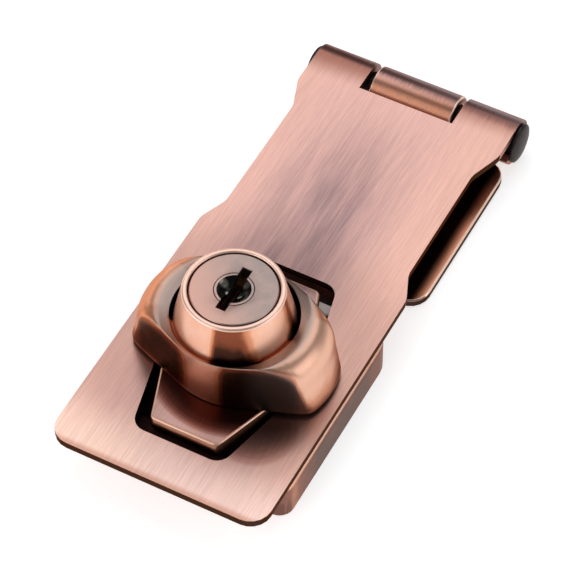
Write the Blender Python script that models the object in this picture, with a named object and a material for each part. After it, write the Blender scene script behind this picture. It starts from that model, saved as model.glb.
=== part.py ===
"""Keyed hasp lock for a cupboard or drawer, closed and held by its cross knob.

Axes: +X across the hasp, +Y from the free end towards the hinge, +Z away from the
surface that it is screwed to.  The origin is the middle of the overall length and width,
on the mounting surface.  Everything is in metres.
"""

import math

import bmesh
import bpy
from mathutils import Vector

MM = 0.001

# Hasp leaf: one flat sheet with a waist, an opening and two rolled knuckles
HASP_WIDTH = 32.0 * MM
HASP_LENGTH = 80.8 * MM
SHEET_THICKNESS = 1.2 * MM
HASP_CORNER_RADIUS = 3.0 * MM
WAIST_DEPTH = 1.75 * MM
WAIST_START = 41.9 * MM
WAIST_ENTRY = 4.1 * MM
WAIST_END = 70.8 * MM
WAIST_EXIT = 4.8 * MM
WAIST_RADIUS = 3.5 * MM

# Hinge barrel and pin
BARREL_DIAMETER = 6.9 * MM
KNUCKLE_WRAP = 250.0
MIDDLE_KNUCKLE_WIDTH = 13.0 * MM
KNUCKLE_SIDE_GAP = 0.92 * MM
NOTCH_GAP = 0.43 * MM
PIN_CLEARANCE = 0.2 * MM
PIN_HEAD_DIAMETER = 5.9 * MM
PIN_HEAD_RIM = 0.35 * MM
PIN_HEAD_HEIGHT = 1.0 * MM
PIN_END_GAP = 0.12 * MM

# Mounting leaf under the waist
MOUNT_START = 45.75 * MM
MOUNT_STEP = 0.3 * MM
MOUNT_HINGE_GAP = 0.42 * MM
MOUNT_CORNER_RADIUS = 3.0 * MM
MOUNT_SCREW_SPREAD = 19.0 * MM
MOUNT_SCREW_INSET = 6.0 * MM
SCREW_HOLE_DIAMETER = 3.6 * MM
SCREW_SINK_DIAMETER = 5.6 * MM

# Lock base
BASE_OVERHANG = 6.7 * MM
BASE_STEP = 0.15 * MM
BASE_END_LEDGE = 0.12 * MM
BASE_TONGUE_WIDTH = 17.0 * MM
BASE_TONGUE_LENGTH = 2.9 * MM
BASE_TONGUE_THICKNESS = 1.8 * MM
BASE_TONGUE_DROP = 0.35 * MM
BASE_FRONT_RADIUS = 2.1 * MM
BASE_BACK_RADIUS = 3.8 * MM
BASE_EDGE_RADIUS = 0.5 * MM
BASE_FLOOR_BOTTOM = 3.6 * MM
BASE_WALL = 1.7 * MM
BASE_SCREW_INSET = 4.6 * MM
BASE_POST_DIAMETER = 7.0 * MM
HUB_DIAMETER = 22.6 * MM
HUB_WELL_DIAMETER = 19.4 * MM
LEAF_GAP = 0.2 * MM
BOSS_RISE = 0.45 * MM
BOSS_END_WIDTH = 10.05 * MM
BOSS_CORNER_RADIUS = 0.9 * MM
BOSS_EDGE_RADIUS = 0.3 * MM
BOSS_END_MARGIN = 0.13 * MM
BOSS_SIDE_MARGIN = 0.5 * MM

# Opening of the hasp leaf round the boss
OPENING_END_GAP = 1.93 * MM
OPENING_CORNER_GAP = 1.68 * MM
OPENING_SIDE_GAP = 0.4 * MM
OPENING_CORNER_RADIUS = 2.2 * MM

# Cross knob
KNOB_FROM_FREE_END = 22.95 * MM
KNOB_LENGTH = 28.9 * MM
KNOB_MIDDLE_LEDGE = 1.5 * MM
KNOB_TIP_WIDTH = 8.7 * MM
KNOB_RIDGE_RADIUS = 11.5 * MM
KNOB_TIP_RADIUS = 12.5 * MM
KNOB_CORNER_SOFTNESS = 0.036
KNOB_RUNNING_GAP = 0.25 * MM
WING_HEIGHT = 8.85 * MM
WING_TIP_DRAFT = 0.9 * MM
WING_DROP = 3.85 * MM
CROWN_DISH_WIDTH = 1.55 * MM
CROWN_DISH_DEPTH = 0.5 * MM
COLLAR_GROOVE_DEPTH = 1.1 * MM
COLLAR_GROOVE_WIDTH = 0.55 * MM
CONE_BASE_DIAMETER = 16.4 * MM
CONE_TOP_DIAMETER = 13.9 * MM
CONE_HEIGHT = 4.92 * MM
RIM_EDGE_RADIUS = 0.35 * MM

# Shank of the knob in the base
SHANK_DIAMETER = 13.6 * MM
SHANK_CLEARANCE = 0.25 * MM
SHANK_BOTTOM = 0.6 * MM
CLIP_GROOVE_DEPTH = 0.7 * MM
CLIP_THICKNESS = 0.7 * MM
CLIP_GAP = 0.1 * MM
CLIP_OUTER_DIAMETER = 16.4 * MM
CLIP_MOUTH = 100.0
WASHER_OUTER_DIAMETER = 18.6 * MM
WASHER_THICKNESS = 0.45 * MM
WAVE_THICKNESS = 0.25 * MM
WAVE_AMPLITUDE = 0.2 * MM
STACK_GAP = 0.1 * MM

# Key plug in the knob
PLUG_DIAMETER = 10.0 * MM
PLUG_CLEARANCE = 0.15 * MM
PLUG_HEAD_DIAMETER = 11.86 * MM
PLUG_HEAD_CLEARANCE = 0.2 * MM
PLUG_HEAD_HEIGHT = 1.8 * MM
PLUG_FACE_SINK = 0.1 * MM
PLUG_BOTTOM = 7.0 * MM
KEYWAY_LENGTH = 7.5 * MM
KEYWAY_WIDTH = 1.4 * MM
KEYWAY_BOTTOM = 10.2 * MM
EYE_DIAMETER = 5.3 * MM
EYE_DEPTH = 1.3 * MM
EYE_DISH_DIAMETER = 4.6 * MM
EYE_DISH_DEPTH = 0.9 * MM
EYE_FLAT_DIAMETER = 1.9 * MM
EYE_CLEARANCE = 0.06 * MM

# Wafers and their springs
WAFER_COUNT = 5
WAFER_PITCH = 1.6 * MM
WAFER_THICKNESS = 0.8 * MM
WAFER_GAP = 0.1 * MM
WAFER_WIDTH = 5.6 * MM
WAFER_TOP = 18.0 * MM
WAFER_WINDOW_WIDTH = 2.2 * MM
WAFER_WINDOW_LENGTH = 7.3 * MM
WAFER_STEP = 0.25 * MM
LUG_LENGTH = 0.95 * MM
LUG_WIDTH = 0.8 * MM
SPRING_LENGTH = 1.7 * MM
SPRING_DIAMETER = 0.72 * MM
SPRING_WIRE = 0.18 * MM
SPRING_TURNS = 4
RETAINER_LEVEL = 8.9 * MM
RETAINER_REACH = 0.55 * MM
RETAINER_GROOVE_DEPTH = 0.8 * MM

# Sliding bolt, its drive pin and the cap below it
BOLT_BOTTOM = 4.45 * MM
BOLT_THICKNESS = 2.0 * MM
BOLT_TIP_WIDTH = 4.0 * MM
BOLT_BODY_WIDTH = 6.8 * MM
BOLT_BODY_BACK = 3.5 * MM
BOLT_SHOULDER = 1.45 * MM
BOLT_GAP = 0.15 * MM
BOLT_TIP_SET = 0.2 * MM
SOCKET_GAP = 0.25 * MM
DRIVE_RADIUS = 1.55 * MM
DRIVE_PIN_DIAMETER = 1.4 * MM
DRIVE_PIN_SLACK = 0.13 * MM
CAP_THICKNESS = 1.1 * MM
CAP_CLEARANCE = 0.08 * MM

ROUND_STEPS = 60
SMALL_STEPS = 28

# Positions that follow from the sizes above
free_y = -HASP_LENGTH / 2
barrel_r = BARREL_DIAMETER / 2
pin_y = free_y + HASP_LENGTH - barrel_r
pin_z = barrel_r
leaf_top = BARREL_DIAMETER
leaf_bottom = leaf_top - SHEET_THICKNESS
knob_y = free_y + KNOB_FROM_FREE_END
boss_top = leaf_top + BOSS_RISE
base_top = leaf_bottom - LEAF_GAP
boss_half_length = KNOB_LENGTH / 2 + BOSS_END_MARGIN
knob_half_middle = CONE_BASE_DIAMETER / 2 + KNOB_MIDDLE_LEDGE
boss_half_middle = knob_half_middle + BOSS_SIDE_MARGIN
base_front = free_y + BASE_OVERHANG
base_back = knob_y + boss_half_length + BASE_END_LEDGE
base_half = HASP_WIDTH / 2 + BASE_STEP
wing_bottom = boss_top + KNOB_RUNNING_GAP
wing_top = wing_bottom + WING_HEIGHT
groove_edge_r = CONE_BASE_DIAMETER / 2 + COLLAR_GROOVE_WIDTH
groove_edge_z = wing_top - CROWN_DISH_DEPTH
groove_low = groove_edge_z - COLLAR_GROOVE_DEPTH
rim_top = wing_top + CONE_HEIGHT
shank_r = SHANK_DIAMETER / 2
plug_r = PLUG_DIAMETER / 2
bore_r = plug_r + PLUG_CLEARANCE
head_bore_r = PLUG_HEAD_DIAMETER / 2 + PLUG_HEAD_CLEARANCE
face_z = rim_top - PLUG_FACE_SINK
head_bottom = face_z - PLUG_HEAD_HEIGHT
groove_r = shank_r - CLIP_GROOVE_DEPTH
bolt_top = BOLT_BOTTOM + BOLT_THICKNESS
bolt_travel = 2 * DRIVE_RADIUS * math.sin(math.radians(45))
cap_top = BOLT_BOTTOM - BOLT_GAP


def clear_scene():
    """Removes every object, so that the model starts from nothing."""
    for item in list(bpy.data.objects):
        bpy.data.objects.remove(item, do_unlink=True)


def material(name, colour, roughness, metallic=1.0):
    """Returns a Principled material of one finish."""
    finish = bpy.data.materials.new(name)
    finish.use_nodes = True
    shader = finish.node_tree.nodes["Principled BSDF"]
    shader.inputs["Base Color"].default_value = (*colour, 1.0)
    shader.inputs["Roughness"].default_value = roughness
    shader.inputs["Metallic"].default_value = metallic
    return finish


def empty(name, place):
    """Adds an empty that stands on a joint's axis."""
    item = bpy.data.objects.new(name, None)
    item.location = place
    item.empty_display_size = 0.006
    bpy.context.collection.objects.link(item)
    return item


def to_object(name, bm, finish=None, parent=None):
    """Turns a bmesh in world coordinates into an object whose origin is its parent's."""
    if parent is not None:
        bmesh.ops.translate(bm, verts=bm.verts, vec=-parent.location)
    bmesh.ops.recalc_face_normals(bm, faces=bm.faces)
    mesh = bpy.data.meshes.new(name)
    bm.to_mesh(mesh)
    bm.free()
    item = bpy.data.objects.new(name, mesh)
    bpy.context.collection.objects.link(item)
    if parent is not None:
        item.parent = parent
    if finish is not None:
        mesh.materials.append(finish)
        mesh.shade_smooth()
        mesh.set_sharp_from_angle(angle=math.radians(30))
    return item


def boolean(target, cutter, operation="DIFFERENCE"):
    """Adds a Boolean of one hidden cutter to the target."""
    cutter.hide_render = True
    cutter.display_type = "WIRE"
    step = target.modifiers.new(cutter.name, "BOOLEAN")
    step.operation = operation
    step.solver = "EXACT"
    step.object = cutter


def prism(outline, low, high):
    """Returns a bmesh of an XY outline extruded from one height to another."""
    bm = bmesh.new()
    face = bm.faces.new([bm.verts.new((x, y, low)) for x, y in outline])
    grown = bmesh.ops.extrude_face_region(bm, geom=[face])
    top = [v for v in grown["geom"] if isinstance(v, bmesh.types.BMVert)]
    bmesh.ops.translate(bm, verts=top, vec=(0, 0, high - low))
    return bm


def turned(profile, centre=(0.0, 0.0), steps=ROUND_STEPS):
    """Returns a closed (radius, height) profile spun once about a vertical axis."""
    bm = bmesh.new()
    start = [bm.verts.new((centre[0] + r, centre[1], z)) for r, z in profile]
    edges = [bm.edges.new((a, b)) for a, b in zip(start, start[1:] + start[:1])]
    bmesh.ops.spin(bm, geom=start + edges, cent=(centre[0], centre[1], 0), axis=(0, 0, 1),
                   angle=math.tau, steps=steps, use_merge=True)
    bmesh.ops.remove_doubles(bm, verts=bm.verts, dist=1e-7)
    return bm


def disc(radius, low, high, centre, steps=ROUND_STEPS):
    """Returns an upright cylinder."""
    bm = bmesh.new()
    bmesh.ops.create_cone(bm, cap_ends=True, segments=steps, radius1=radius, radius2=radius,
                          depth=high - low)
    bmesh.ops.translate(bm, verts=bm.verts, vec=(centre[0], centre[1], (low + high) / 2))
    return bm


def box(x0, x1, y0, y1, z0, z1):
    """Returns an upright box between its limits."""
    return prism([(x0, y0), (x1, y0), (x1, y1), (x0, y1)], z0, z1)


def rounded(corners, radii, steps=5):
    """Returns an outline with each corner replaced by an arc of its own radius."""
    points = []
    count = len(corners)
    for i, corner in enumerate(corners):
        here = Vector(corner)
        before = (Vector(corners[i - 1]) - here).normalized()
        after = (Vector(corners[(i + 1) % count]) - here).normalized()
        radius = radii[i]
        turn = math.pi - before.angle(after)
        if radius <= 0 or turn < 1e-4:
            points.append(tuple(here))
            continue
        reach = radius * math.tan(turn / 2)
        centre = here + (before + after).normalized() * (radius / math.cos(turn / 2))
        first = here + before * reach - centre
        side = 1 if first.cross(here + after * reach - centre) > 0 else -1
        for k in range(steps + 1):
            a = side * turn * k / steps
            points.append((centre.x + first.x * math.cos(a) - first.y * math.sin(a),
                           centre.y + first.x * math.sin(a) + first.y * math.cos(a)))
    return points


def long_hexagon(half_length, half_middle, half_end, corner, ridge, along_y, centre):
    """Returns a long hexagon with rounded end corners and softly rounded middle ridges."""
    corners = [(half_length, -half_end), (half_length, half_end), (0, half_middle),
               (-half_length, half_end), (-half_length, -half_end), (0, -half_middle)]
    shape = rounded(corners, [corner, corner, ridge, corner, corner, ridge])
    if along_y:
        shape = [(-y, x) for x, y in shape]
    return [(centre[0] + x, centre[1] + y) for x, y in shape]


def countersink(name, x, y, top, thickness, parent=None):
    """Returns a cutter for one countersunk screw hole."""
    hole, sink = SCREW_HOLE_DIAMETER / 2, SCREW_SINK_DIAMETER / 2
    over = thickness
    profile = [(0, top - thickness - over), (hole, top - thickness - over),
               (hole, top - (sink - hole)), (sink, top), (sink, top + over), (0, top + over)]
    return to_object(name, turned(profile, (x, y), SMALL_STEPS), parent=parent)


def waist_outline():
    """Returns the right half of the hasp leaf's edge, from the free end to the barrel."""
    half = HASP_WIDTH / 2
    narrow = half - WAIST_DEPTH
    return [(half, free_y, HASP_CORNER_RADIUS),
            (half, free_y + WAIST_START, WAIST_RADIUS),
            (narrow, free_y + WAIST_START + WAIST_ENTRY, WAIST_RADIUS),
            (narrow, free_y + WAIST_END - WAIST_EXIT, WAIST_RADIUS),
            (half, free_y + WAIST_END, WAIST_RADIUS)]


def roll_sheet(bm, upward):
    """Rolls what lies beyond the pin's axis round the pin, keeping the sheet's thickness.

    The sheet's outer face becomes the barrel.  An upper leaf rolls downwards and a lower
    leaf rolls upwards.
    """
    middle = barrel_r - SHEET_THICKNESS / 2
    wrap = math.radians(KNUCKLE_WRAP)
    steps = 16
    for k in range(steps):
        bmesh.ops.bisect_plane(bm, geom=bm.verts[:] + bm.edges[:] + bm.faces[:], dist=1e-8,
                               plane_co=(0, pin_y + middle * wrap * k / steps, 0),
                               plane_no=(0, 1, 0))
    for vert in bm.verts:
        along = vert.co.y - pin_y
        if along <= 1e-7:
            continue
        angle = along / middle
        depth = vert.co.z if upward else leaf_top - vert.co.z
        radius = barrel_r - depth
        vert.co.y = pin_y + radius * math.sin(angle)
        height = radius * math.cos(angle)
        vert.co.z = pin_z - height if upward else pin_z + height


def make_hasp_leaf(finish, parent):
    """Builds the hasp leaf with its opening and its two outer knuckles."""
    right = waist_outline()
    tail = pin_y + (barrel_r - SHEET_THICKNESS / 2) * math.radians(KNUCKLE_WRAP)
    notch_half = MIDDLE_KNUCKLE_WIDTH / 2 + KNUCKLE_SIDE_GAP
    notch_y = pin_y - barrel_r - NOTCH_GAP
    half = HASP_WIDTH / 2
    corners = [(x, y) for x, y, _ in right]
    radii = [r for _, _, r in right]
    corners += [(half, tail), (notch_half, tail), (notch_half, notch_y)]
    radii += [0, 0, 0]
    mirror = [(-x, y) for x, y in reversed(corners)]
    outline = rounded(corners + mirror, radii + radii[::-1])
    sheet = prism(outline, leaf_bottom, leaf_top)
    roll_sheet(sheet, upward=False)
    leaf = to_object("hasp_leaf", sheet, finish, parent)
    opening = long_hexagon(boss_half_length + OPENING_END_GAP,
                           boss_half_middle + OPENING_SIDE_GAP,
                           BOSS_END_WIDTH / 2 + OPENING_CORNER_GAP,
                           OPENING_CORNER_RADIUS, KNOB_RIDGE_RADIUS, True, (0, knob_y))
    boolean(leaf, to_object("cut_opening", prism(opening, leaf_bottom - SHEET_THICKNESS,
                                                 leaf_top + SHEET_THICKNESS), parent=parent))
    return leaf


def make_mounting_leaf(finish, parent):
    """Builds the lower leaf with its screw holes and the middle knuckle."""
    half = HASP_WIDTH / 2 + MOUNT_STEP
    start = free_y + MOUNT_START
    # the wide part stops short of the outer knuckles, measured at the sheet's upper face
    level = barrel_r - SHEET_THICKNESS
    stop = pin_y - math.sqrt(barrel_r ** 2 - level ** 2) - MOUNT_HINGE_GAP
    tail = pin_y + (barrel_r - SHEET_THICKNESS / 2) * math.radians(KNUCKLE_WRAP)
    tab = MIDDLE_KNUCKLE_WIDTH / 2
    radius = MOUNT_CORNER_RADIUS
    corners = [(half, start), (half, stop), (tab, stop), (tab, tail),
               (-tab, tail), (-tab, stop), (-half, stop), (-half, start)]
    outline = rounded(corners, [radius, radius, 0, 0, 0, 0, radius, radius])
    sheet = prism(outline, 0, SHEET_THICKNESS)
    roll_sheet(sheet, upward=True)
    leaf = to_object("mounting_leaf", sheet, finish, parent)
    number = 0
    # the holes keep their inset as long as the sheet leaves room for all of them
    inset = min(MOUNT_SCREW_INSET, (stop - start) / 4)
    for y in (start + inset, stop - inset):
        for x in (-MOUNT_SCREW_SPREAD / 2, MOUNT_SCREW_SPREAD / 2):
            number += 1
            boolean(leaf, countersink(f"cut_mount_screw_{number}", x, y, SHEET_THICKNESS,
                                      SHEET_THICKNESS, parent))
    return leaf


def make_hinge_pin(finish, parent):
    """Builds the hinge pin with a low domed head on each end."""
    shaft = barrel_r - SHEET_THICKNESS - PIN_CLEARANCE
    head = PIN_HEAD_DIAMETER / 2
    inner = HASP_WIDTH / 2 + PIN_END_GAP
    end = inner + PIN_HEAD_HEIGHT
    dome = []
    for k in range(6):
        a = math.pi / 2 * k / 5
        dome.append((head * math.cos(a),
                     inner + PIN_HEAD_RIM + (end - inner - PIN_HEAD_RIM) * math.sin(a)))
    side = [(shaft, inner), (head, inner)] + dome
    side[-1] = (0.0, end)
    profile = [(r, -x) for r, x in reversed(side)] + side
    bm = bmesh.new()
    verts = [bm.verts.new((x, r, 0)) for r, x in profile]
    edges = [bm.edges.new((a, b)) for a, b in zip(verts, verts[1:])]
    bmesh.ops.spin(bm, geom=verts + edges, cent=(0, 0, 0), axis=(1, 0, 0), angle=math.tau,
                   steps=36, use_merge=True)
    bmesh.ops.remove_doubles(bm, verts=bm.verts, dist=1e-7)
    bmesh.ops.translate(bm, verts=bm.verts, vec=(0, pin_y, pin_z))
    return to_object("hinge_pin", bm, finish, parent)


def round_top(bm, level, radius, segments=2):
    """Rounds the edges that bound a prism's top face."""
    edges = [e for e in bm.edges if all(abs(v.co.z - level) < 1e-7 for v in e.verts)]
    bmesh.ops.bevel(bm, geom=edges, offset=radius, segments=segments, affect="EDGES",
                    profile=0.5, material=-1, clamp_overlap=True)


def make_lock_base(finish):
    """Builds the cast base: a hollow tray with a hub, screw posts and the raised boss."""
    corners = [(base_half, base_front), (base_half, base_back),
               (-base_half, base_back), (-base_half, base_front)]
    base_radii = [BASE_FRONT_RADIUS, BASE_BACK_RADIUS, BASE_BACK_RADIUS, BASE_FRONT_RADIUS]
    tray = prism(rounded(corners, base_radii, 6), 0, base_top)
    round_top(tray, base_top, BASE_EDGE_RADIUS)
    base = to_object("lock_base", tray, finish)

    # the underside is cored out between the outer wall, the hub and the screw posts
    inner = [(x - math.copysign(BASE_WALL, x),
              base_front + BASE_WALL if y == base_front else base_back - BASE_WALL)
             for x, y in corners]
    core = prism(rounded(inner, [r - 0.8 * BASE_WALL for r in base_radii], 4),
                 -BASE_FLOOR_BOTTOM, BASE_FLOOR_BOTTOM)
    core = to_object("cut_base_core", core)
    posts = []
    for y in (base_front + BASE_SCREW_INSET, base_back - BASE_SCREW_INSET):
        for x in (base_half - BASE_SCREW_INSET, BASE_SCREW_INSET - base_half):
            posts.append((x, y))
    spare = 2 * BASE_FLOOR_BOTTOM
    keep = to_object("keep_hub", disc(HUB_DIAMETER / 2, -spare, spare, (0, knob_y)))
    boolean(core, keep)
    for number, (x, y) in enumerate(posts, 1):
        keep = to_object(f"keep_post_{number}", disc(BASE_POST_DIAMETER / 2, -spare, spare,
                                                     (x, y), SMALL_STEPS))
        boolean(core, keep)
    boolean(base, core)

    boss = prism(long_hexagon(boss_half_length, boss_half_middle, BOSS_END_WIDTH / 2,
                              BOSS_CORNER_RADIUS, KNOB_RIDGE_RADIUS, True, (0, knob_y)),
                 (BASE_FLOOR_BOTTOM + base_top) / 2, boss_top)
    round_top(boss, boss_top, BOSS_EDGE_RADIUS)
    boolean(base, to_object("join_boss", boss), "UNION")

    # a thin tongue behind the base closes the rear end of the hasp's opening from below
    tongue_top = base_top - BASE_TONGUE_DROP
    half = BASE_TONGUE_WIDTH / 2
    tongue = box(-half, half, base_back - BASE_WALL / 2, base_back + BASE_TONGUE_LENGTH,
                 tongue_top - BASE_TONGUE_THICKNESS, tongue_top)
    boolean(base, to_object("join_tongue", tongue), "UNION")

    well = [(0, -BASE_FLOOR_BOTTOM), (HUB_WELL_DIAMETER / 2, -BASE_FLOOR_BOTTOM),
            (HUB_WELL_DIAMETER / 2, BASE_FLOOR_BOTTOM),
            (shank_r + SHANK_CLEARANCE, BASE_FLOOR_BOTTOM),
            (shank_r + SHANK_CLEARANCE, 2 * boss_top), (0, 2 * boss_top)]
    boolean(base, to_object("cut_shank_bore", turned(well, (0, knob_y))))

    # one socket for the bolt with the knob crosswise, one with the knob along the hasp
    reach = shank_r - BOLT_TIP_SET + bolt_travel + SOCKET_GAP
    half = BOLT_TIP_WIDTH / 2 + SOCKET_GAP
    low, high = BOLT_BOTTOM - SOCKET_GAP, bolt_top + SOCKET_GAP
    boolean(base, to_object("cut_socket_closed",
                            box(-half, half, knob_y - reach, knob_y, low, high)))
    boolean(base, to_object("cut_socket_open",
                            box(0, reach, knob_y - half, knob_y + half, low, high)))
    for number, (x, y) in enumerate(posts, 1):
        boolean(base, countersink(f"cut_base_screw_{number}", x, y, base_top, base_top))
    return base


def hexagon_radius(angle):
    """Returns how far the knob's long hexagon reaches in one direction."""
    middle, tip = knob_half_middle, KNOB_TIP_WIDTH / 2
    slope = (middle - tip) / (KNOB_LENGTH / 2)
    c, s = abs(math.cos(angle)), abs(math.sin(angle))
    reach = middle / (s + slope * c)
    lean = math.atan(slope)
    if reach * c < KNOB_RIDGE_RADIUS * math.sin(lean):
        centre = middle - KNOB_RIDGE_RADIUS / math.cos(lean)
        reach = centre * s + math.sqrt(KNOB_RIDGE_RADIUS ** 2 - (centre * c) ** 2)
    return reach


def tip_radius(angle, radius):
    """Returns the wing end's reach in one direction, for its radius along the wing.

    In plan the wing ends on an arc tighter than the knob's own circle.  Towards the collar
    groove the outline becomes round about the knob's axis.
    """
    full = KNOB_LENGTH / 2
    offset = full - KNOB_TIP_RADIUS
    c, s = abs(math.cos(angle)), abs(math.sin(angle))
    across = max(0.0, KNOB_TIP_RADIUS ** 2 - (offset * s) ** 2)
    plan = offset * c + math.sqrt(across)
    fade = max(0.0, min(1.0, 2 * (radius - groove_edge_r) / (full - groove_edge_r)))
    return radius * (1 - fade * (1 - plan / full))


def knob_angles():
    """Returns the knob's section angles, with one on each edge between its faces."""
    middle, tip = knob_half_middle, KNOB_TIP_WIDTH / 2
    slope = (middle - tip) / (KNOB_LENGTH / 2)
    low, high = 0.0, math.pi / 2
    for _ in range(50):
        half = (low + high) / 2
        if hexagon_radius(half) > tip_radius(half, KNOB_LENGTH / 2):
            low = half
        else:
            high = half
    corner = (low + high) / 2
    lean = math.atan(slope)
    x = KNOB_RIDGE_RADIUS * math.sin(lean)
    ridge = math.atan2(middle - slope * x, x)
    quarter = [corner * k / 4 for k in range(4)]
    quarter += [corner + (ridge - corner) * k / 6 for k in range(6)]
    quarter += [ridge + (math.pi / 2 - ridge) * k / 4 for k in range(4)]
    mirrored = [math.pi - a for a in reversed(quarter[1:])]
    half_turn = quarter + [math.pi / 2] + mirrored
    return half_turn + [a + math.pi for a in half_turn]


def wing_profile():
    """Returns the wing's outer line, from its foot over the crown into the collar groove.

    The crown rolls over to a shallow dish round the groove.
    """
    tip = KNOB_LENGTH / 2
    foot = 0.5 * MM
    shoulder_r = tip - WING_TIP_DRAFT
    shoulder_z = wing_top - WING_DROP
    roll = shoulder_r - groove_edge_r - CROWN_DISH_WIDTH
    line = [(tip, wing_bottom + foot), (shoulder_r, shoulder_z)]
    steps = 6
    for k in range(1, steps + 1):
        a = math.pi / 2 * k / steps
        line.append((shoulder_r - roll * (1 - math.cos(a)),
                     shoulder_z + WING_DROP * math.sin(a)))
    inner = CONE_BASE_DIAMETER / 2
    line += [(groove_edge_r, groove_edge_z),
             (inner + COLLAR_GROOVE_WIDTH * 0.45, groove_low + 0.1 * COLLAR_GROOVE_DEPTH),
             (inner, groove_low)]
    return line


def soften(reach, radius):
    """Returns the smaller of the flank's reach and the wing's radius, rounded where they meet.

    The rounding fades out towards the collar groove, whose edge stays crisp.
    """
    outer = KNOB_LENGTH / 2 - WING_TIP_DRAFT
    fade = (radius - groove_edge_r) / ((outer - groove_edge_r) / 2)
    soft = KNOB_CORNER_SOFTNESS * max(0.0, min(1.0, fade))
    low, high = min(reach, radius), max(reach, radius)
    if soft < 1e-4:
        return low
    return low * (1 + (low / high) ** (1 / soft)) ** -soft


def radius_at(profile, height):
    """Returns the wing profile's outermost radius at one height."""
    for (r0, z0), (r1, z1) in zip(profile, profile[1:]):
        if z0 <= height <= z1 and z1 > z0:
            return r0 + (r1 - r0) * (height - z0) / (z1 - z0)
    return profile[0][0]


def knob_section(angle):
    """Returns the closed (radius, height) section of the knob in one direction."""
    profile = [(tip_radius(angle, r), z) for r, z in wing_profile()]
    reach = hexagon_radius(angle)
    # the crest is where the flat side meets the crown, counted from the wing's foot inwards
    start = next(i for i in range(len(profile) - 1) if profile[i + 1][0] < reach)
    (r0, z0), (r1, z1) = profile[start], profile[start + 1]
    share = max(0.0, min(1.0, (r0 - reach) / (r0 - r1)))
    crest = (r0 + (r1 - r0) * share, z0 + (z1 - z0) * share)
    wall = []
    for share in (0.0, 0.3, 0.6, 0.8, 0.93):
        height = wing_bottom + (crest[1] - wing_bottom) * share
        wall.append((soften(reach, radius_at(profile, height)), height))
    crown = [crest] + profile[start + 1:]
    lengths = [0.0]
    for a, b in zip(crown, crown[1:]):
        lengths.append(lengths[-1] + math.dist(a, b))
    # the crown's rows end at the groove's edge, or a little down its wall at the ridges
    edge = lengths[-3] if len(crown) > 3 else 0.0
    edge = max(edge, 0.35 * lengths[-1])
    rows = 8
    wanted = [edge * (k / (rows - 1)) ** 1.3 for k in range(rows)]
    wanted += [edge + (lengths[-1] - edge) * f for f in (0.5, 0.8, 1.0)]
    over = []
    for want in wanted:
        i = max(j for j in range(len(lengths) - 1) if lengths[j] <= want + 1e-12)
        span = lengths[i + 1] - lengths[i]
        f = 0.0 if span == 0 else min(1.0, (want - lengths[i]) / span)
        radius = crown[i][0] + (crown[i + 1][0] - crown[i][0]) * f
        over.append((soften(reach, radius), crown[i][1] + (crown[i + 1][1] - crown[i][1]) * f))
    top_r, edge = CONE_TOP_DIAMETER / 2, RIM_EDGE_RADIUS
    collar = [(CONE_BASE_DIAMETER / 2, groove_edge_z - COLLAR_GROOVE_DEPTH * 0.5),
              (top_r, rim_top - edge),
              (top_r - 0.3 * edge, rim_top - 0.3 * edge), (top_r - edge, rim_top),
              (head_bore_r + 0.3 * edge, rim_top), (head_bore_r, rim_top - 0.3 * edge)]
    seat = head_bottom - PLUG_CLEARANCE
    ring_low = RETAINER_LEVEL - WAFER_THICKNESS / 2 - 2 * WAFER_GAP
    ring_high = RETAINER_LEVEL + WAFER_THICKNESS / 2 + 2 * WAFER_GAP
    ring_r = bore_r + RETAINER_GROOVE_DEPTH
    bore = [(head_bore_r, seat), (bore_r, seat), (bore_r, ring_high), (ring_r, ring_high),
            (ring_r, ring_low), (bore_r, ring_low), (bore_r, SHANK_BOTTOM)]
    clip_low = clip_bottom() - CLIP_GAP
    clip_high = clip_bottom() + CLIP_THICKNESS + CLIP_GAP
    shank = [(shank_r, SHANK_BOTTOM), (shank_r, clip_low), (groove_r, clip_low),
             (groove_r, clip_high), (shank_r, clip_high), (shank_r, wing_bottom)]
    return wall + over + collar + bore + shank


def clip_bottom():
    """Returns the level of the spring clip, below the two washers under the base floor."""
    washer_low = BASE_FLOOR_BOTTOM - STACK_GAP - WASHER_THICKNESS
    wave_low = washer_low - STACK_GAP - WAVE_THICKNESS - 2 * WAVE_AMPLITUDE
    return wave_low - STACK_GAP - CLIP_THICKNESS


def make_knob(finish, parent):
    """Builds the knob: two wings, the cone with its rim, and the hollow shank."""
    bm = bmesh.new()
    loops = []
    for angle in knob_angles():
        c, s = math.cos(angle), math.sin(angle)
        loops.append([bm.verts.new((r * c, knob_y + r * s, z)) for r, z in knob_section(angle)])
    rows = len(loops[0])
    for i, loop in enumerate(loops):
        after = loops[(i + 1) % len(loops)]
        for k in range(rows):
            n = (k + 1) % rows
            bm.faces.new((loop[k], after[k], after[n], loop[n]))
    knob = to_object("knob", bm, finish, parent)

    # slot that lets the bolt out through the shank
    half = BOLT_TIP_WIDTH / 2 + BOLT_GAP
    slot = box(-half, half, knob_y - 1.5 * shank_r, knob_y - 0.5 * bore_r,
               BOLT_BOTTOM - BOLT_GAP, bolt_top + BOLT_GAP)
    boolean(knob, to_object("cut_bolt_slot", slot, parent=parent))
    # four lengthwise grooves in the bore, where the wafers drop in
    half = WAFER_WIDTH / 2 + 2 * WAFER_GAP
    reach = bore_r + RETAINER_GROOVE_DEPTH
    low = wafer_level(WAFER_COUNT - 1) - WAFER_THICKNESS
    high = wafer_level(0) + WAFER_THICKNESS
    boolean(knob, to_object("cut_wafer_groove_y", box(-half, half, knob_y - reach,
                                                      knob_y + reach, low, high),
                            parent=parent))
    boolean(knob, to_object("cut_wafer_groove_x", box(-reach, reach, knob_y - half,
                                                      knob_y + half, low, high),
                            parent=parent))
    return knob


def wafer_level(number):
    """Returns the middle height of one wafer, counted from the face."""
    return WAFER_TOP - WAFER_THICKNESS / 2 - number * WAFER_PITCH


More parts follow.
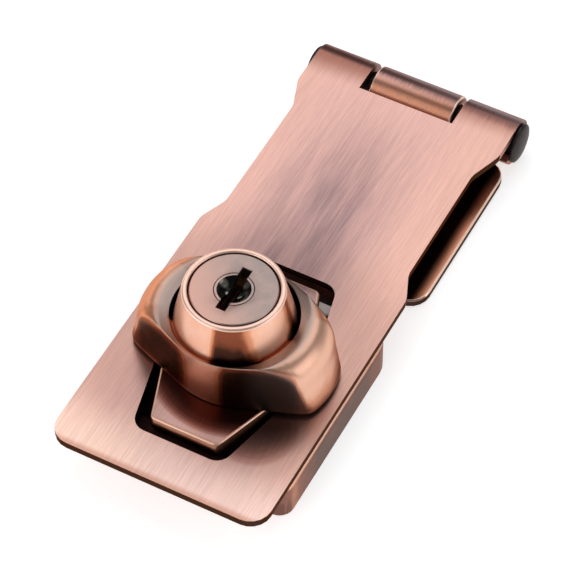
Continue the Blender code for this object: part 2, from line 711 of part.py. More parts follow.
def drive_place():
    """Returns the drive pin's place on the plug with the key upright."""
    a = math.radians(135)
    return DRIVE_RADIUS * math.cos(a), knob_y + DRIVE_RADIUS * math.sin(a)


def make_plug(finish, parent):
    """Builds the plug with its keyway, wafer slots, spring pockets and drive pin."""
    head_r = PLUG_HEAD_DIAMETER / 2
    eye_r = EYE_DIAMETER / 2 + EYE_CLEARANCE
    edge = 0.12 * MM
    profile = [(0, PLUG_BOTTOM), (plug_r, PLUG_BOTTOM), (plug_r, head_bottom),
               (head_r, head_bottom), (head_r, face_z - edge), (head_r - edge, face_z),
               (eye_r, face_z), (eye_r, face_z - EYE_DEPTH), (0, face_z - EYE_DEPTH)]
    plug = to_object("plug", turned(profile, (0, knob_y)), finish, parent)
    half_x, half_y = KEYWAY_WIDTH / 2, KEYWAY_LENGTH / 2
    boolean(plug, to_object("cut_keyway", box(-half_x, half_x, knob_y - half_y,
                                              knob_y + half_y, KEYWAY_BOTTOM,
                                              face_z + PLUG_HEAD_HEIGHT), parent=parent))
    half_x = WAFER_WIDTH / 2 + WAFER_GAP
    pocket = half_x + LUG_LENGTH
    back = knob_y - LUG_WIDTH / 2 - SPRING_LENGTH - 2 * WAFER_GAP
    front = knob_y + LUG_WIDTH / 2 + 3 * WAFER_GAP
    for number in range(WAFER_COUNT + 1):
        level = wafer_level(number) if number < WAFER_COUNT else RETAINER_LEVEL
        low = level - WAFER_THICKNESS / 2 - WAFER_GAP
        high = level + WAFER_THICKNESS / 2 + WAFER_GAP
        if number < WAFER_COUNT:
            outline = [(-half_x, knob_y - 2 * plug_r), (half_x, knob_y - 2 * plug_r),
                       (half_x, back), (pocket, back), (pocket, front), (half_x, front),
                       (half_x, knob_y + 2 * plug_r), (-half_x, knob_y + 2 * plug_r)]
        else:
            outline = [(-half_x, knob_y), (half_x, knob_y),
                       (half_x, knob_y + 2 * plug_r), (-half_x, knob_y + 2 * plug_r)]
        boolean(plug, to_object(f"cut_wafer_slot_{number + 1}", prism(outline, low, high),
                                parent=parent))
    x, y = drive_place()
    pin = disc(DRIVE_PIN_DIAMETER / 2, BOLT_BOTTOM + BOLT_GAP,
               (PLUG_BOTTOM + RETAINER_LEVEL) / 2 - WAFER_THICKNESS / 2, (x, y), SMALL_STEPS)
    boolean(plug, to_object("join_drive_pin", pin, parent=parent), "UNION")
    return plug


def make_key_eye(finish, parent):
    """Builds the dished ring in the plug's face, split down to its floor by the keyway."""
    outer, dish, flat = EYE_DIAMETER / 2, EYE_DISH_DIAMETER / 2, EYE_FLAT_DIAMETER / 2
    bottom = face_z - EYE_DEPTH + EYE_CLEARANCE
    floor = face_z - EYE_DISH_DEPTH
    middle = ((dish + flat) / 2 - 0.12 * MM, (face_z + floor) / 2 - 0.12 * MM)
    profile = [(0, bottom), (outer, bottom), (outer, face_z), (dish, face_z), middle,
               (flat, floor), (0, floor)]
    eye = to_object("key_eye", turned(profile, (0, knob_y), 48), finish, parent)
    # the slot stops inside the ring's rim, so the ring stays in one piece
    half_x = KEYWAY_WIDTH / 2
    half_y = math.sqrt(((EYE_DISH_DIAMETER + EYE_DIAMETER) / 4) ** 2 - half_x ** 2)
    slot = box(-half_x, half_x, knob_y - half_y, knob_y + half_y, bottom - EYE_DEPTH,
               face_z + EYE_DEPTH)
    boolean(eye, to_object("cut_eye_slot", slot, parent=parent))
    return eye


def arc_plate(half_width, reach, low_y=None):
    """Returns a plate outline with round ends, as wide as given, about the knob's axis."""
    a = math.asin(half_width / reach)
    steps = 6
    top = [(reach * math.sin(a - 2 * a * k / steps), knob_y + reach * math.cos(a - 2 * a * k / steps))
           for k in range(steps + 1)]
    if low_y is None:
        bottom = [(-x, 2 * knob_y - y) for x, y in top]
    else:
        bottom = [(-half_width, low_y), (half_width, low_y)]
    return top + bottom


def make_wafers(finish, spring_finish, parent):
    """Builds the wafers, flush with the plug as the right key holds them, and springs."""
    made = []
    reach = plug_r - WAFER_GAP / 2
    for number in range(WAFER_COUNT):
        level = wafer_level(number)
        low, high = level - WAFER_THICKNESS / 2, level + WAFER_THICKNESS / 2
        half = WAFER_WIDTH / 2
        wafer = to_object(f"wafer_{number + 1}", prism(arc_plate(half, reach), low, high),
                          finish, parent)
        lug = box(half / 2, half + LUG_LENGTH - WAFER_GAP, knob_y - LUG_WIDTH / 2,
                  knob_y + LUG_WIDTH / 2, low, high)
        boolean(wafer, to_object(f"join_lug_{number + 1}", lug, parent=parent), "UNION")
        shift = WAFER_STEP * ((number * 2) % WAFER_COUNT - WAFER_COUNT // 2)
        half_x, half_y = WAFER_WINDOW_WIDTH / 2, WAFER_WINDOW_LENGTH / 2
        window = box(-half_x, half_x, knob_y - half_y + shift, knob_y + half_y + shift,
                     low - WAFER_PITCH, high + WAFER_PITCH)
        boolean(wafer, to_object(f"cut_window_{number + 1}", window, parent=parent))
        made.append(wafer)
        end = knob_y - LUG_WIDTH / 2 - WAFER_GAP
        made.append(make_spring(f"wafer_spring_{number + 1}",
                                WAFER_WIDTH / 2 + WAFER_GAP + LUG_LENGTH / 2, end, level,
                                spring_finish, parent))
    outline = arc_plate(WAFER_WIDTH / 2, plug_r + RETAINER_REACH, knob_y + 2 * WAFER_GAP)
    retainer = prism(outline, RETAINER_LEVEL - WAFER_THICKNESS / 2,
                     RETAINER_LEVEL + WAFER_THICKNESS / 2)
    made.append(to_object("retainer_wafer", retainer, finish, parent))
    return made


def make_spring(name, x, end, level, finish, parent):
    """Builds one small coil spring whose axis lies along the wafer."""
    wire, sides, per_turn = SPRING_WIRE / 2, 5, 9
    coil = SPRING_DIAMETER / 2 - wire
    run = SPRING_LENGTH - SPRING_WIRE
    count = SPRING_TURNS * per_turn
    bm = bmesh.new()
    rings = []
    for k in range(count + 1):
        a = math.tau * k / per_turn
        y = end - wire - run * k / count
        ring = []
        for j in range(sides):
            b = math.tau * j / sides
            radius = coil + wire * math.cos(b)
            ring.append(bm.verts.new((x + radius * math.cos(a), y + wire * math.sin(b),
                                      level + radius * math.sin(a))))
        rings.append(ring)
    for one, two in zip(rings, rings[1:]):
        for j in range(sides):
            n = (j + 1) % sides
            bm.faces.new((one[j], one[n], two[n], two[j]))
    bm.faces.new(rings[0])
    bm.faces.new(rings[-1])
    return to_object(name, bm, finish, parent)


def make_bolt(finish, parent):
    """Builds the flat bolt with the cross slot that the plug's drive pin works in."""
    tip = knob_y - (shank_r - BOLT_TIP_SET)
    shoulder = knob_y - BOLT_SHOULDER
    back = knob_y + BOLT_BODY_BACK
    narrow, wide = BOLT_TIP_WIDTH / 2, BOLT_BODY_WIDTH / 2
    outline = rounded([(-narrow, tip), (narrow, tip), (narrow, shoulder), (wide, shoulder),
                       (wide, back), (-wide, back), (-wide, shoulder), (-narrow, shoulder)],
                      [0.4 * MM, 0.4 * MM, 0, 0, 0.5 * MM, 0.5 * MM, 0, 0], 3)
    bolt = to_object("lock_bolt", prism(outline, BOLT_BOTTOM, bolt_top), finish, parent)
    x, y = drive_place()
    radius = DRIVE_PIN_DIAMETER / 2 + DRIVE_PIN_SLACK
    left = -DRIVE_RADIUS - radius
    right = x + radius
    slot = rounded([(left, y - radius), (right, y - radius), (right, y + radius),
                    (left, y + radius)], [radius * 0.6] * 4, 4)
    boolean(bolt, to_object("cut_drive_slot", prism(slot, BOLT_BOTTOM - BOLT_THICKNESS,
                                                    bolt_top + BOLT_THICKNESS),
                            parent=parent))
    return bolt


def make_shank_cap(finish, parent):
    """Builds the disc pressed into the shank's end, which carries the bolt."""
    radius = bore_r - CAP_CLEARANCE
    low = cap_top - CAP_THICKNESS
    edge = 0.2 * MM
    profile = [(0, low), (radius - edge, low), (radius, low + edge), (radius, cap_top),
               (0, cap_top)]
    return to_object("shank_cap", turned(profile, (0, knob_y), 48), finish, parent)


def make_washers(finish, parent):
    """Builds the thrust washer, the wave washer and the open spring clip below them."""
    high = BASE_FLOOR_BOTTOM - STACK_GAP
    low = high - WASHER_THICKNESS
    inner, outer = shank_r + SHANK_CLEARANCE, WASHER_OUTER_DIAMETER / 2
    washer = turned([(inner, low), (outer, low), (outer, high), (inner, high)], (0, knob_y), 48)
    made = [to_object("thrust_washer", washer, finish, parent)]

    middle = low - STACK_GAP - WAVE_THICKNESS / 2 - WAVE_AMPLITUDE
    steps = 48
    bm = bmesh.new()
    rows = []
    for k in range(steps):
        a = math.tau * k / steps
        z = middle + WAVE_AMPLITUDE * math.cos(3 * a)
        rows.append([bm.verts.new((r * math.cos(a), knob_y + r * math.sin(a), z + h))
                     for r, h in ((inner, -WAVE_THICKNESS / 2), (outer, -WAVE_THICKNESS / 2),
                                  (outer, WAVE_THICKNESS / 2), (inner, WAVE_THICKNESS / 2))])
    for k in range(steps):
        one, two = rows[k], rows[(k + 1) % steps]
        for j in range(4):
            n = (j + 1) % 4
            bm.faces.new((one[j], two[j], two[n], one[n]))
    made.append(to_object("wave_washer", bm, finish, parent))

    inner, outer = groove_r + CLIP_GAP, CLIP_OUTER_DIAMETER / 2
    level = clip_bottom()
    start = math.radians(CLIP_MOUTH / 2)
    span = math.tau - 2 * start
    steps = 40
    arc = [start + span * k / steps for k in range(steps + 1)]
    outline = [(outer * math.cos(a), knob_y + outer * math.sin(a)) for a in arc]
    outline += [(inner * math.cos(a), knob_y + inner * math.sin(a)) for a in reversed(arc)]
    made.append(to_object("spring_clip", prism(outline, level, level + CLIP_THICKNESS),
                          finish, parent))
    return made


def main():
    """Builds the whole lock."""
    clear_scene()
    copper = material("brushed_copper", (0.66, 0.43, 0.36), 0.34)
    cast = material("satin_copper", (0.62, 0.36, 0.26), 0.3)
    dark = material("gunmetal", (0.09, 0.08, 0.085), 0.38)
    eye = material("dark_polish", (0.05, 0.045, 0.04), 0.18)
    brass = material("brass", (0.72, 0.55, 0.28), 0.35)
    steel = material("steel", (0.55, 0.55, 0.56), 0.3)

    hinge_axis = empty("hinge_axis", (0, pin_y, pin_z))
    knob_axis = empty("knob_axis", (0, knob_y, 0))
    bpy.context.view_layer.update()

    make_lock_base(cast)
    make_hasp_leaf(copper, hinge_axis)
    make_mounting_leaf(copper, hinge_axis)
    make_hinge_pin(dark, hinge_axis)
    make_knob(cast, knob_axis)
    make_plug(copper, knob_axis)
    make_key_eye(eye, knob_axis)
    make_wafers(brass, steel, knob_axis)
    make_bolt(steel, knob_axis)
    make_shank_cap(steel, knob_axis)
    make_washers(steel, knob_axis)


main()
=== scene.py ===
"""Looks of a keyed hasp lock: aged copper finishes, softened edges, floor, lamps and camera.

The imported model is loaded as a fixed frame.  The visible pieces are made again with finer
edges and the cross knob with finer surfaces, each exactly where its solid is.  Lengths are
in metres.  +X runs across the hasp, +Y from its free end to the hinge, +Z up.
"""

from __future__ import annotations

import logging
import math
from collections.abc import Callable, Iterable, Sequence
from dataclasses import dataclass, field
from enum import Enum

import bmesh
import bpy
from mathutils import Matrix, Vector


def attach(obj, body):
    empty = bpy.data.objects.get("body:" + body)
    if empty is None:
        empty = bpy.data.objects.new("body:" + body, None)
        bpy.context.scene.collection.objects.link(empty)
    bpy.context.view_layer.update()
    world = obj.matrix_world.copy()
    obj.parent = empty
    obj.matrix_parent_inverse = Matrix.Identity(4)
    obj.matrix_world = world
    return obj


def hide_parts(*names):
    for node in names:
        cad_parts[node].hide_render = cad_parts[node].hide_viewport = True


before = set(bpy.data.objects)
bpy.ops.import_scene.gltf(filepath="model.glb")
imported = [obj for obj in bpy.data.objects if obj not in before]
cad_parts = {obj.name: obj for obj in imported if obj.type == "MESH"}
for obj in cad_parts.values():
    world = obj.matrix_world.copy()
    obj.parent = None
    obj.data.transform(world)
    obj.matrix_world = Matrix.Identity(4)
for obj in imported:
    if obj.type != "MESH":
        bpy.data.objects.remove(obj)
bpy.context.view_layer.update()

LOG = logging.getLogger("hasp_lock")
MM = 0.001
NEAR = 0.01 * MM
TAU = math.tau
Colour = tuple[float, float, float]
Place = tuple[float, float, float]


class Zone(Enum):
    """Zones of the knob's section, each with its own wear and painted light."""

    WALL = "wall"
    CROWN = "crown"
    GROOVE = "groove"
    CONE = "cone"
    RIM = "rim"
    INSIDE = "inside"


def smooth(value: float, low: float, high: float) -> float:
    """Returns 0 at low, 1 at high and an even curve between, in either order."""
    share = max(0.0, min(1.0, (value - low) / (high - low)))
    return share * share * (3 - 2 * share)


def mesh_of(bm: bmesh.types.BMesh, name: str) -> bpy.types.Mesh:
    """Returns a new mesh with what a bmesh holds, and frees the bmesh."""
    mesh = bpy.data.meshes.new(name)
    bm.to_mesh(mesh)
    bm.free()
    return mesh


def add_object(name: str, data: bpy.types.ID) -> bpy.types.Object:
    """Returns a new object of the scene for a mesh, a lamp or a camera."""
    made = bpy.data.objects.new(name, data)
    bpy.context.scene.collection.objects.link(made)
    return made


class Graph:
    """A material's node graph, with short methods for the nodes that the finishes use."""

    def __init__(self, name: str) -> None:
        """Starts a material around one Principled shader.

        Args:
            name: The material's name.
        """
        self.material = bpy.data.materials.new(name)
        self.material.use_nodes = True
        self.tree = self.material.node_tree
        self.shader = self.tree.nodes["Principled BSDF"]

    def node(self, kind: str, inputs: dict | None = None, **settings) -> bpy.types.Node:
        """Adds one node.

        Args:
            kind: The node's type name.
            inputs: Values or sockets for its inputs, by name or number.
            **settings: Properties of the node itself.

        Returns:
            The node.
        """
        made = self.tree.nodes.new(kind)
        for key, value in settings.items():
            setattr(made, key, value)
        for key, value in (inputs or {}).items():
            self.feed(made.inputs[key], value)
        return made

    def feed(self, socket: bpy.types.NodeSocket, value) -> None:
        """Links a socket to an input, or sets the input's own value."""
        if isinstance(value, bpy.types.NodeSocket):
            self.tree.links.new(value, socket)
        elif isinstance(value, tuple) and len(value) == 3 and socket.type == "RGBA":
            socket.default_value = (*value, 1.0)
        else:
            socket.default_value = value

    def coords(self, scale: Place = (1.0, 1.0, 1.0), turn: Place = (0.0, 0.0, 0.0),
               shift: Place = (0.0, 0.0, 0.0)) -> bpy.types.NodeSocket:
        """Returns Object coordinates in millimetres, shifted, turned and scaled."""
        source = self.node("ShaderNodeTexCoord")
        metric = self.node("ShaderNodeMapping", {
            "Vector": source.outputs["Object"], "Scale": (1000.0, 1000.0, 1000.0),
            "Location": shift})
        mapped = self.node("ShaderNodeMapping", {
            "Vector": metric.outputs[0], "Scale": scale, "Rotation": turn})
        return mapped.outputs[0]

    def axes(self, **mapping) -> tuple[bpy.types.NodeSocket, ...]:
        """Returns the x, y and z of Object coordinates, which are mapped as in coords."""
        split = self.node("ShaderNodeSeparateXYZ", {0: self.coords(**mapping)})
        return tuple(split.outputs)

    def away(self, x: float, y: float) -> bpy.types.NodeSocket:
        """Returns the distance in millimetres from the upright line at x and y."""
        return self.node("ShaderNodeVectorMath", {
            0: self.coords((1.0, 1.0, 0.0)), 1: (x, y, 0.0)},
            operation="DISTANCE").outputs["Value"]

    def times(self, *values) -> bpy.types.NodeSocket:
        """Returns the product of numbers and sockets."""
        made = values[0]
        for value in values[1:]:
            made = self.calc("MULTIPLY", made, value)
        return made

    def noise(self, vector: bpy.types.NodeSocket, scale: float, detail: float = 2.0,
              roughness: float = 0.5, warp: float = 0.0) -> bpy.types.NodeSocket:
        """Returns a noise value from 0 to 1."""
        return self.node("ShaderNodeTexNoise", {
            "Vector": vector, "Scale": scale, "Detail": detail, "Roughness": roughness,
            "Distortion": warp}).outputs["Fac"]

    def span(self, value, low: float, high: float, first: float = 0.0,
             last: float = 1.0) -> bpy.types.NodeSocket:
        """Returns a value remapped smoothly from one range to another."""
        return self.node("ShaderNodeMapRange", {
            "Value": value, "From Min": low, "From Max": high, "To Min": first,
            "To Max": last}, interpolation_type="SMOOTHSTEP").outputs[0]

    def calc(self, step: str, a, b=0.0, clamp: bool = False) -> bpy.types.NodeSocket:
        """Returns the result of one sum, with numbers or sockets."""
        return self.node("ShaderNodeMath", {0: a, 1: b}, operation=step,
                         use_clamp=clamp).outputs[0]

    def blend(self, factor, a, b) -> bpy.types.NodeSocket:
        """Returns a mix of two colours."""
        return self.node("ShaderNodeMix", {"Factor": factor, 6: a, 7: b},
                         data_type="RGBA").outputs[2]

    def tint(self, a, b, share: float) -> bpy.types.NodeSocket:
        """Returns one colour multiplied by a share of another."""
        return self.node("ShaderNodeMix", {"Factor": share, 6: a, 7: b}, data_type="RGBA",
                         blend_type="MULTIPLY").outputs[2]

    def stops(self, value, colours: Sequence[tuple[float, Colour]]) -> bpy.types.NodeSocket:
        """Returns a colour from a ramp of several stops."""
        made = self.node("ShaderNodeValToRGB", {"Fac": value})
        ramp = made.color_ramp
        ramp.interpolation = "EASE"
        while len(ramp.elements) < len(colours):
            ramp.elements.new(0.5)
        for element, (place, colour) in zip(ramp.elements, colours):
            element.position = place
            element.color = (*colour, 1.0)
        return made.outputs["Color"]

    def paint(self, name: str) -> bpy.types.NodeSocket:
        """Returns a value that the mesh carries at its points."""
        return self.node("ShaderNodeAttribute", attribute_name=name).outputs["Fac"]

    def bump(self, height, depth: float, strength: float) -> bpy.types.NodeSocket:
        """Returns a normal raised by a height, with the depth in metres."""
        return self.node("ShaderNodeBump", {
            "Height": height, "Distance": depth, "Strength": strength}).outputs[0]

    def finish(self, **inputs) -> bpy.types.Material:
        """Feeds the shader's inputs, given with underscores for spaces.

        Returns:
            The material.
        """
        for key, value in inputs.items():
            self.feed(self.shader.inputs[key.replace("_", " ")], value)
        return self.material


# Copper as it ages, from the dark of the recesses to the bright of the rubbed edges
PATINA: tuple[tuple[float, Colour], ...] = (
    (0.0, (0.008, 0.003, 0.003)),
    (0.2, (0.055, 0.022, 0.014)),
    (0.4, (0.26, 0.075, 0.038)),
    (0.6, (0.68, 0.27, 0.14)),
    (0.8, (0.88, 0.49, 0.34)),
    (1.0, (0.90, 0.61, 0.51)),
)
# Painted shade: how much of its brightness the copper keeps in the knob's painted shadow and
# reflection, from the darkest side outwards
KNOB_SHADE_RAMP: tuple[tuple[float, Colour], ...] = (
    (0.0, (0.13, 0.06, 0.05)),
    (0.37, (0.17, 0.08, 0.065)),
    (0.56, (0.27, 0.15, 0.13)),
    (0.7, (0.43, 0.28, 0.25)),
    (0.85, (0.71, 0.56, 0.53)),
    (1.0, (1.0, 1.0, 1.0)),
)


@dataclass(frozen=True)
class BrushedCopper:
    """Sheet copper brushed along the hasp, rose where unworn and grey-violet where it has
    wear, with painted light and shade: a pale front, a brown lip, bands along the barrel and
    shade round the knob.

    Places are in millimetres, turns are in radians, and a pair says where a change starts
    and where it ends.
    """

    name: str = "brushed_copper"
    rose: Colour = (0.76, 0.45, 0.39)
    peach: Colour = (0.765, 0.45, 0.37)
    # pale and lilac: painted light in front; lip: painted shade along the front edge
    pale: Colour = (0.96, 0.65, 0.535)
    lilac: Colour = (0.90, 0.625, 0.55)
    lip: Colour = (0.66, 0.36, 0.27)
    violet: Colour = (0.25, 0.165, 0.175)
    # edge: rubbed wear and a painted highlight on rounded edges; wall: painted shade on cut
    # walls
    edge: Colour = (0.96, 0.70, 0.58)
    wall: Colour = (0.055, 0.03, 0.023)
    # painted light on the rolled barrel: brown and dark painted shade, a pale painted
    # highlight
    roll_shade_brown: Colour = (0.31, 0.125, 0.09)
    roll_shade_dark: Colour = (0.13, 0.068, 0.066)
    roll_highlight: Colour = (0.37, 0.31, 0.325)
    grazing: Colour = (0.55, 0.42, 0.38)
    roughness: float = 0.25
    rose_middle: float = -2.0
    peach_band: tuple[float, float] = (6.0, 16.0)
    lilac_band: tuple[float, float] = (-8.0, 1.0)
    front_band: tuple[float, float] = (-30.0, -38.0)
    lip_band: tuple[float, float] = (-39.2, -40.2)
    worn_middle: float = -1.3
    worn_across: tuple[float, float] = (13.0, 0.5)
    worn_front: tuple[float, float] = (-26.0, -4.0)
    worn_rear: tuple[float, float] = (36.0, 9.0)
    half_width: float = 16.0
    pin_axis: tuple[float, float] = (36.95, 3.45)
    lean_start: float = -10.0
    lean: float = 0.045
    # where the barrel's painted shade and highlight lie
    roll_band: tuple[float, float] = (32.2, 36.9)
    roll_share: float = 0.9
    dark_turn: tuple[float, float] = (-0.15, 0.3)
    dark_end: tuple[float, float] = (1.6, 1.1)
    dark_share: tuple[float, float] = (0.97, 0.66)
    pale_turn: tuple[float, float] = (0.32, 0.72)
    pale_end: tuple[float, float] = (1.5, 1.2)
    pale_share: float = 0.85
    knob_axis: tuple[float, float] = (0.0, -17.45)
    # painted shade round the knob, and the round patch of painted shadow and reflection beside
    # it
    knob_shade: tuple[float, ...] = (29.0, 15.0, 0.0, 0.28)
    painted_shadow_centre: tuple[float, float] = (8.2, -27.1)
    painted_shadow_band: tuple[float, float] = (0.0, 6.0)
    painted_shadow_share: float = 0.72

    def material(self) -> bpy.types.Material:
        """Builds the finish.

        Returns:
            The material.
        """
        g = Graph(self.name)
        fine = g.noise(g.coords((6.0, 0.16, 6.0)), 1.0, 3.0, 0.6)
        hair = g.noise(g.coords((15.0, 0.5, 15.0)), 1.0, 2.0, 0.6)
        colour = g.blend(self.streaks(g, fine, hair), self.copper_and_painted_light(g), self.violet)
        colour = self.barrel(g, colour, fine)
        # rubbed wear and painted highlight on the rounded edges
        colour = g.blend(g.paint("edge"), colour, self.edge)
        # painted shade: the knob's shadow and reflection on the copper
        colour = self.paint_knob_shade(g, colour)
        # painted shade on the sheet's cut walls
        colour = g.blend(g.paint("wall"), colour, self.wall)
        lines = g.calc("ADD", g.times(fine, 0.7), g.times(hair, 0.3))
        return g.finish(Base_Color=colour, Metallic=1.0,
                        Roughness=g.calc("ADD", self.roughness, g.times(lines, 0.1)),
                        Specular_Tint=self.grazing, Normal=g.bump(lines, 0.02 * MM, 0.6))

    def copper_and_painted_light(self, g: Graph) -> bpy.types.NodeSocket:
        """Returns the copper: rose and peach, pale and lilac in front as painted light, and
        brown at its lip as painted shade.
        """
        x, y, _ = g.axes()
        across = g.calc("ABSOLUTE", g.calc("SUBTRACT", x, self.rose_middle))
        copper = g.blend(g.span(across, *self.peach_band), self.rose, self.peach)
        # painted light: pale in front, with a lilac sheen towards the right
        pale = g.blend(g.span(x, *self.lilac_band), self.pale, self.lilac)
        copper = g.blend(g.span(y, *self.front_band), copper, pale)
        # painted shade: brown along the rounded front lip
        return g.blend(g.span(y, *self.lip_band), copper, self.lip)

    def streaks(self, g: Graph, fine: bpy.types.NodeSocket,
                hair: bpy.types.NodeSocket) -> bpy.types.NodeSocket:
        """Returns how grey the copper is: greyed by wear along the middle, in streaks all
        over.
        """
        x, y, _ = g.axes()
        broad = g.noise(g.coords((0.42, 0.045, 0.42)), 1.0, 3.0, 0.55, 0.3)
        across = g.calc("ABSOLUTE", g.calc("SUBTRACT", x, self.worn_middle))
        along = g.times(g.span(y, *self.worn_front), g.span(y, *self.worn_rear))
        wear_and_light = g.times(g.span(across, *self.worn_across), along,
                       g.span(broad, 0.3, 0.66, 0.62, 1.1), 0.72)
        lines = g.calc("ADD", g.times(g.span(fine, 0.3, 0.72), 0.2),
                       g.times(g.span(hair, 0.3, 0.7), 0.09))
        return g.calc("ADD", wear_and_light, lines, clamp=True)

    def paint_knob_shade(self, g: Graph, colour: bpy.types.NodeSocket) -> bpy.types.NodeSocket:
        """Returns the colour with painted shade: duller round the knob and dark in the round
        patch beside it, the knob's painted shadow and reflection.
        """
        near = g.span(g.away(*self.knob_axis), *self.knob_shade)
        colour = g.blend(near, colour, (0.0, 0.0, 0.0))
        inner, outer = self.painted_shadow_band
        share = g.node("ShaderNodeMapRange", {
            "Value": g.away(*self.painted_shadow_centre), "From Min": inner, "From Max": outer}).outputs[0]
        return g.tint(colour, g.stops(share, KNOB_SHADE_RAMP), self.painted_shadow_share)

    def barrel(self, g: Graph, colour: bpy.types.NodeSocket,
               fine: bpy.types.NodeSocket) -> bpy.types.NodeSocket:
        """Returns the colour with painted light in bands along the rolled barrel: brown and
        dark painted shade and a pale painted highlight.

        The dark shade and pale highlight follow the turn round the pin, from straight up to
        the rear.
        The lean lets all three run a little askew to the pin.
        """
        x, y, z = g.axes()
        lean = g.times(g.calc("SUBTRACT", x, self.lean_start), self.lean)
        brown = g.span(g.calc("SUBTRACT", y, g.times(lean, 0.8)), *self.roll_band, 0.0,
                       self.roll_share)
        colour = g.blend(brown, colour, self.roll_shade_brown)
        turn = g.calc("ARCTAN2", g.calc("SUBTRACT", y, self.pin_axis[0]),
                      g.calc("SUBTRACT", z, self.pin_axis[1]))
        turn = g.calc("ADD", turn, g.times(g.calc("SUBTRACT", fine, 0.5), 0.5))
        turn = g.calc("ADD", turn, g.times(lean, 0.26))
        dark = g.times(g.span(turn, *self.dark_turn), g.span(turn, *self.dark_end),
                       g.span(x, -self.half_width, self.half_width, *self.dark_share))
        colour = g.blend(dark, colour, self.roll_shade_dark)
        pale = g.times(g.span(turn, *self.pale_turn), g.span(turn, *self.pale_end),
                       self.pale_share)
        return g.blend(pale, colour, self.roll_highlight)


@dataclass(frozen=True)
class BossCopper(BrushedCopper):
    """The boss top's copper, with the knob's painted shadow and reflection dark on it out to a
    sharp round line.
    """

    name: str = "boss_copper_painted_shadow"
    # painted shadow of the knob on the boss top, out to a round line
    painted_shadow_centre: tuple[float, float] = (1.2, -18.45)
    painted_shadow_band: tuple[float, float] = (10.0, 12.7)
    painted_shadow_share: float = 1.0


@dataclass(frozen=True)
class ShadedCopper(BrushedCopper):
    """The lower leaf's copper, with painted shade where the upper leaf covers it."""

    name: str = "shaded_copper"
    # dark: painted shade under the upper leaf; strip and bright: the parts left out of it
    dark: Colour = (0.012, 0.004, 0.003)
    bright: Colour = (0.58, 0.25, 0.15)
    strip: Colour = (0.95, 0.40, 0.24)
    # painted shade on the lower leaf's knuckle
    roll_shade_brown: Colour = (0.52, 0.315, 0.285)
    roll_band: tuple[float, float] = (34.8, 36.9)
    roll_share: float = 0.8
    strip_band: tuple[float, float] = (14.3, 16.2)
    knuckle_band: tuple[float, float] = (1.6, 3.4)
    under_band: tuple[float, float] = (0.5, 0.2)

    def copper_and_painted_light(self, g: Graph) -> bpy.types.NodeSocket:
        """Returns copper in painted shade, bright only on the outer strips, knuckle and
        underside.
        """
        x, _, z = g.axes()
        shown = g.span(g.calc("ABSOLUTE", x), *self.strip_band)
        # painted shade everywhere but the outer strips
        copper = g.blend(shown, self.dark, self.strip)
        bright = g.calc("MAXIMUM", g.span(z, *self.knuckle_band),
                        g.span(z, *self.under_band))
        return g.blend(bright, copper, self.bright)

    def streaks(self, g: Graph, fine: bpy.types.NodeSocket,
                hair: bpy.types.NodeSocket) -> bpy.types.NodeSocket:
        """Returns faint streaks on the knuckle."""
        height = g.axes()[2]
        return g.times(g.span(fine, 0.35, 0.75), 0.4, g.span(height, *self.knuckle_band))


@dataclass(frozen=True)
class CastCopper:
    """Cast copper, rubbed bright on its high places and left dark in its low ones, with
    painted highlights, reflections and shade in the same painted values.
    """

    name: str = "satin_copper"
    # grey: grey wear on the base, and a painted reflection on the knob's flat crown
    grey: Colour = (0.32, 0.275, 0.26)
    grazing: Colour = (0.78, 0.66, 0.62)
    roughness: float = 0.34
    cloud_share: float = 0.28
    grain_share: float = 0.10

    def material(self) -> bpy.types.Material:
        """Builds the finish, which follows the painted values of brightness and grey: wear,
        patina and painted light.

        Returns:
            The material.
        """
        g = Graph(self.name)
        cloud = g.calc("SUBTRACT", g.noise(g.coords(), 0.32, 4.0, 0.6), 0.5)
        grain = g.noise(g.coords(), 5.5, 3.0, 0.65)
        uneven = g.calc("SUBTRACT", grain, 0.5)
        rub = g.calc("ADD", g.paint("rub"), g.times(cloud, self.cloud_share))
        rub = g.calc("ADD", rub, g.times(uneven, self.grain_share), clamp=True)
        colour = g.blend(g.paint("grey"), g.stops(rub, PATINA), self.grey)
        return g.finish(Base_Color=colour, Metallic=1.0,
                        Roughness=g.calc("ADD", self.roughness, g.times(uneven, 0.12)),
                        Specular_Tint=self.grazing, Normal=g.bump(grain, 0.012 * MM, 0.35))


@dataclass(frozen=True)
class PlainMetal:
    """A plain metal with fine grain and slight stains."""

    name: str
    light: Colour
    dark: Colour
    roughness: float
    grain_depth: float = 0.01 * MM
    grazing: Colour = (0.75, 0.72, 0.7)

    def material(self) -> bpy.types.Material:
        """Builds the finish.

        Returns:
            The material.
        """
        g = Graph(self.name)
        cloud = g.noise(g.coords(), 0.5, 4.0, 0.6)
        grain = g.noise(g.coords(), 6.0, 3.0, 0.6)
        mixed = g.calc("ADD", g.times(g.span(cloud, 0.3, 0.7), 0.6),
                       g.times(g.span(grain, 0.3, 0.7), 0.4))
        rough = g.calc("ADD", self.roughness, g.times(g.calc("SUBTRACT", grain, 0.5), 0.15))
        colour = self.wear_and_light(g, g.blend(mixed, self.dark, self.light))
        return g.finish(Base_Color=colour, Metallic=1.0, Roughness=rough,
                        Specular_Tint=self.grazing,
                        Normal=g.bump(grain, self.grain_depth, 0.4))

    def wear_and_light(self, g: Graph, colour: bpy.types.NodeSocket) -> bpy.types.NodeSocket:
        """Returns the colour with its wear and painted light, here the same all over."""
        return colour


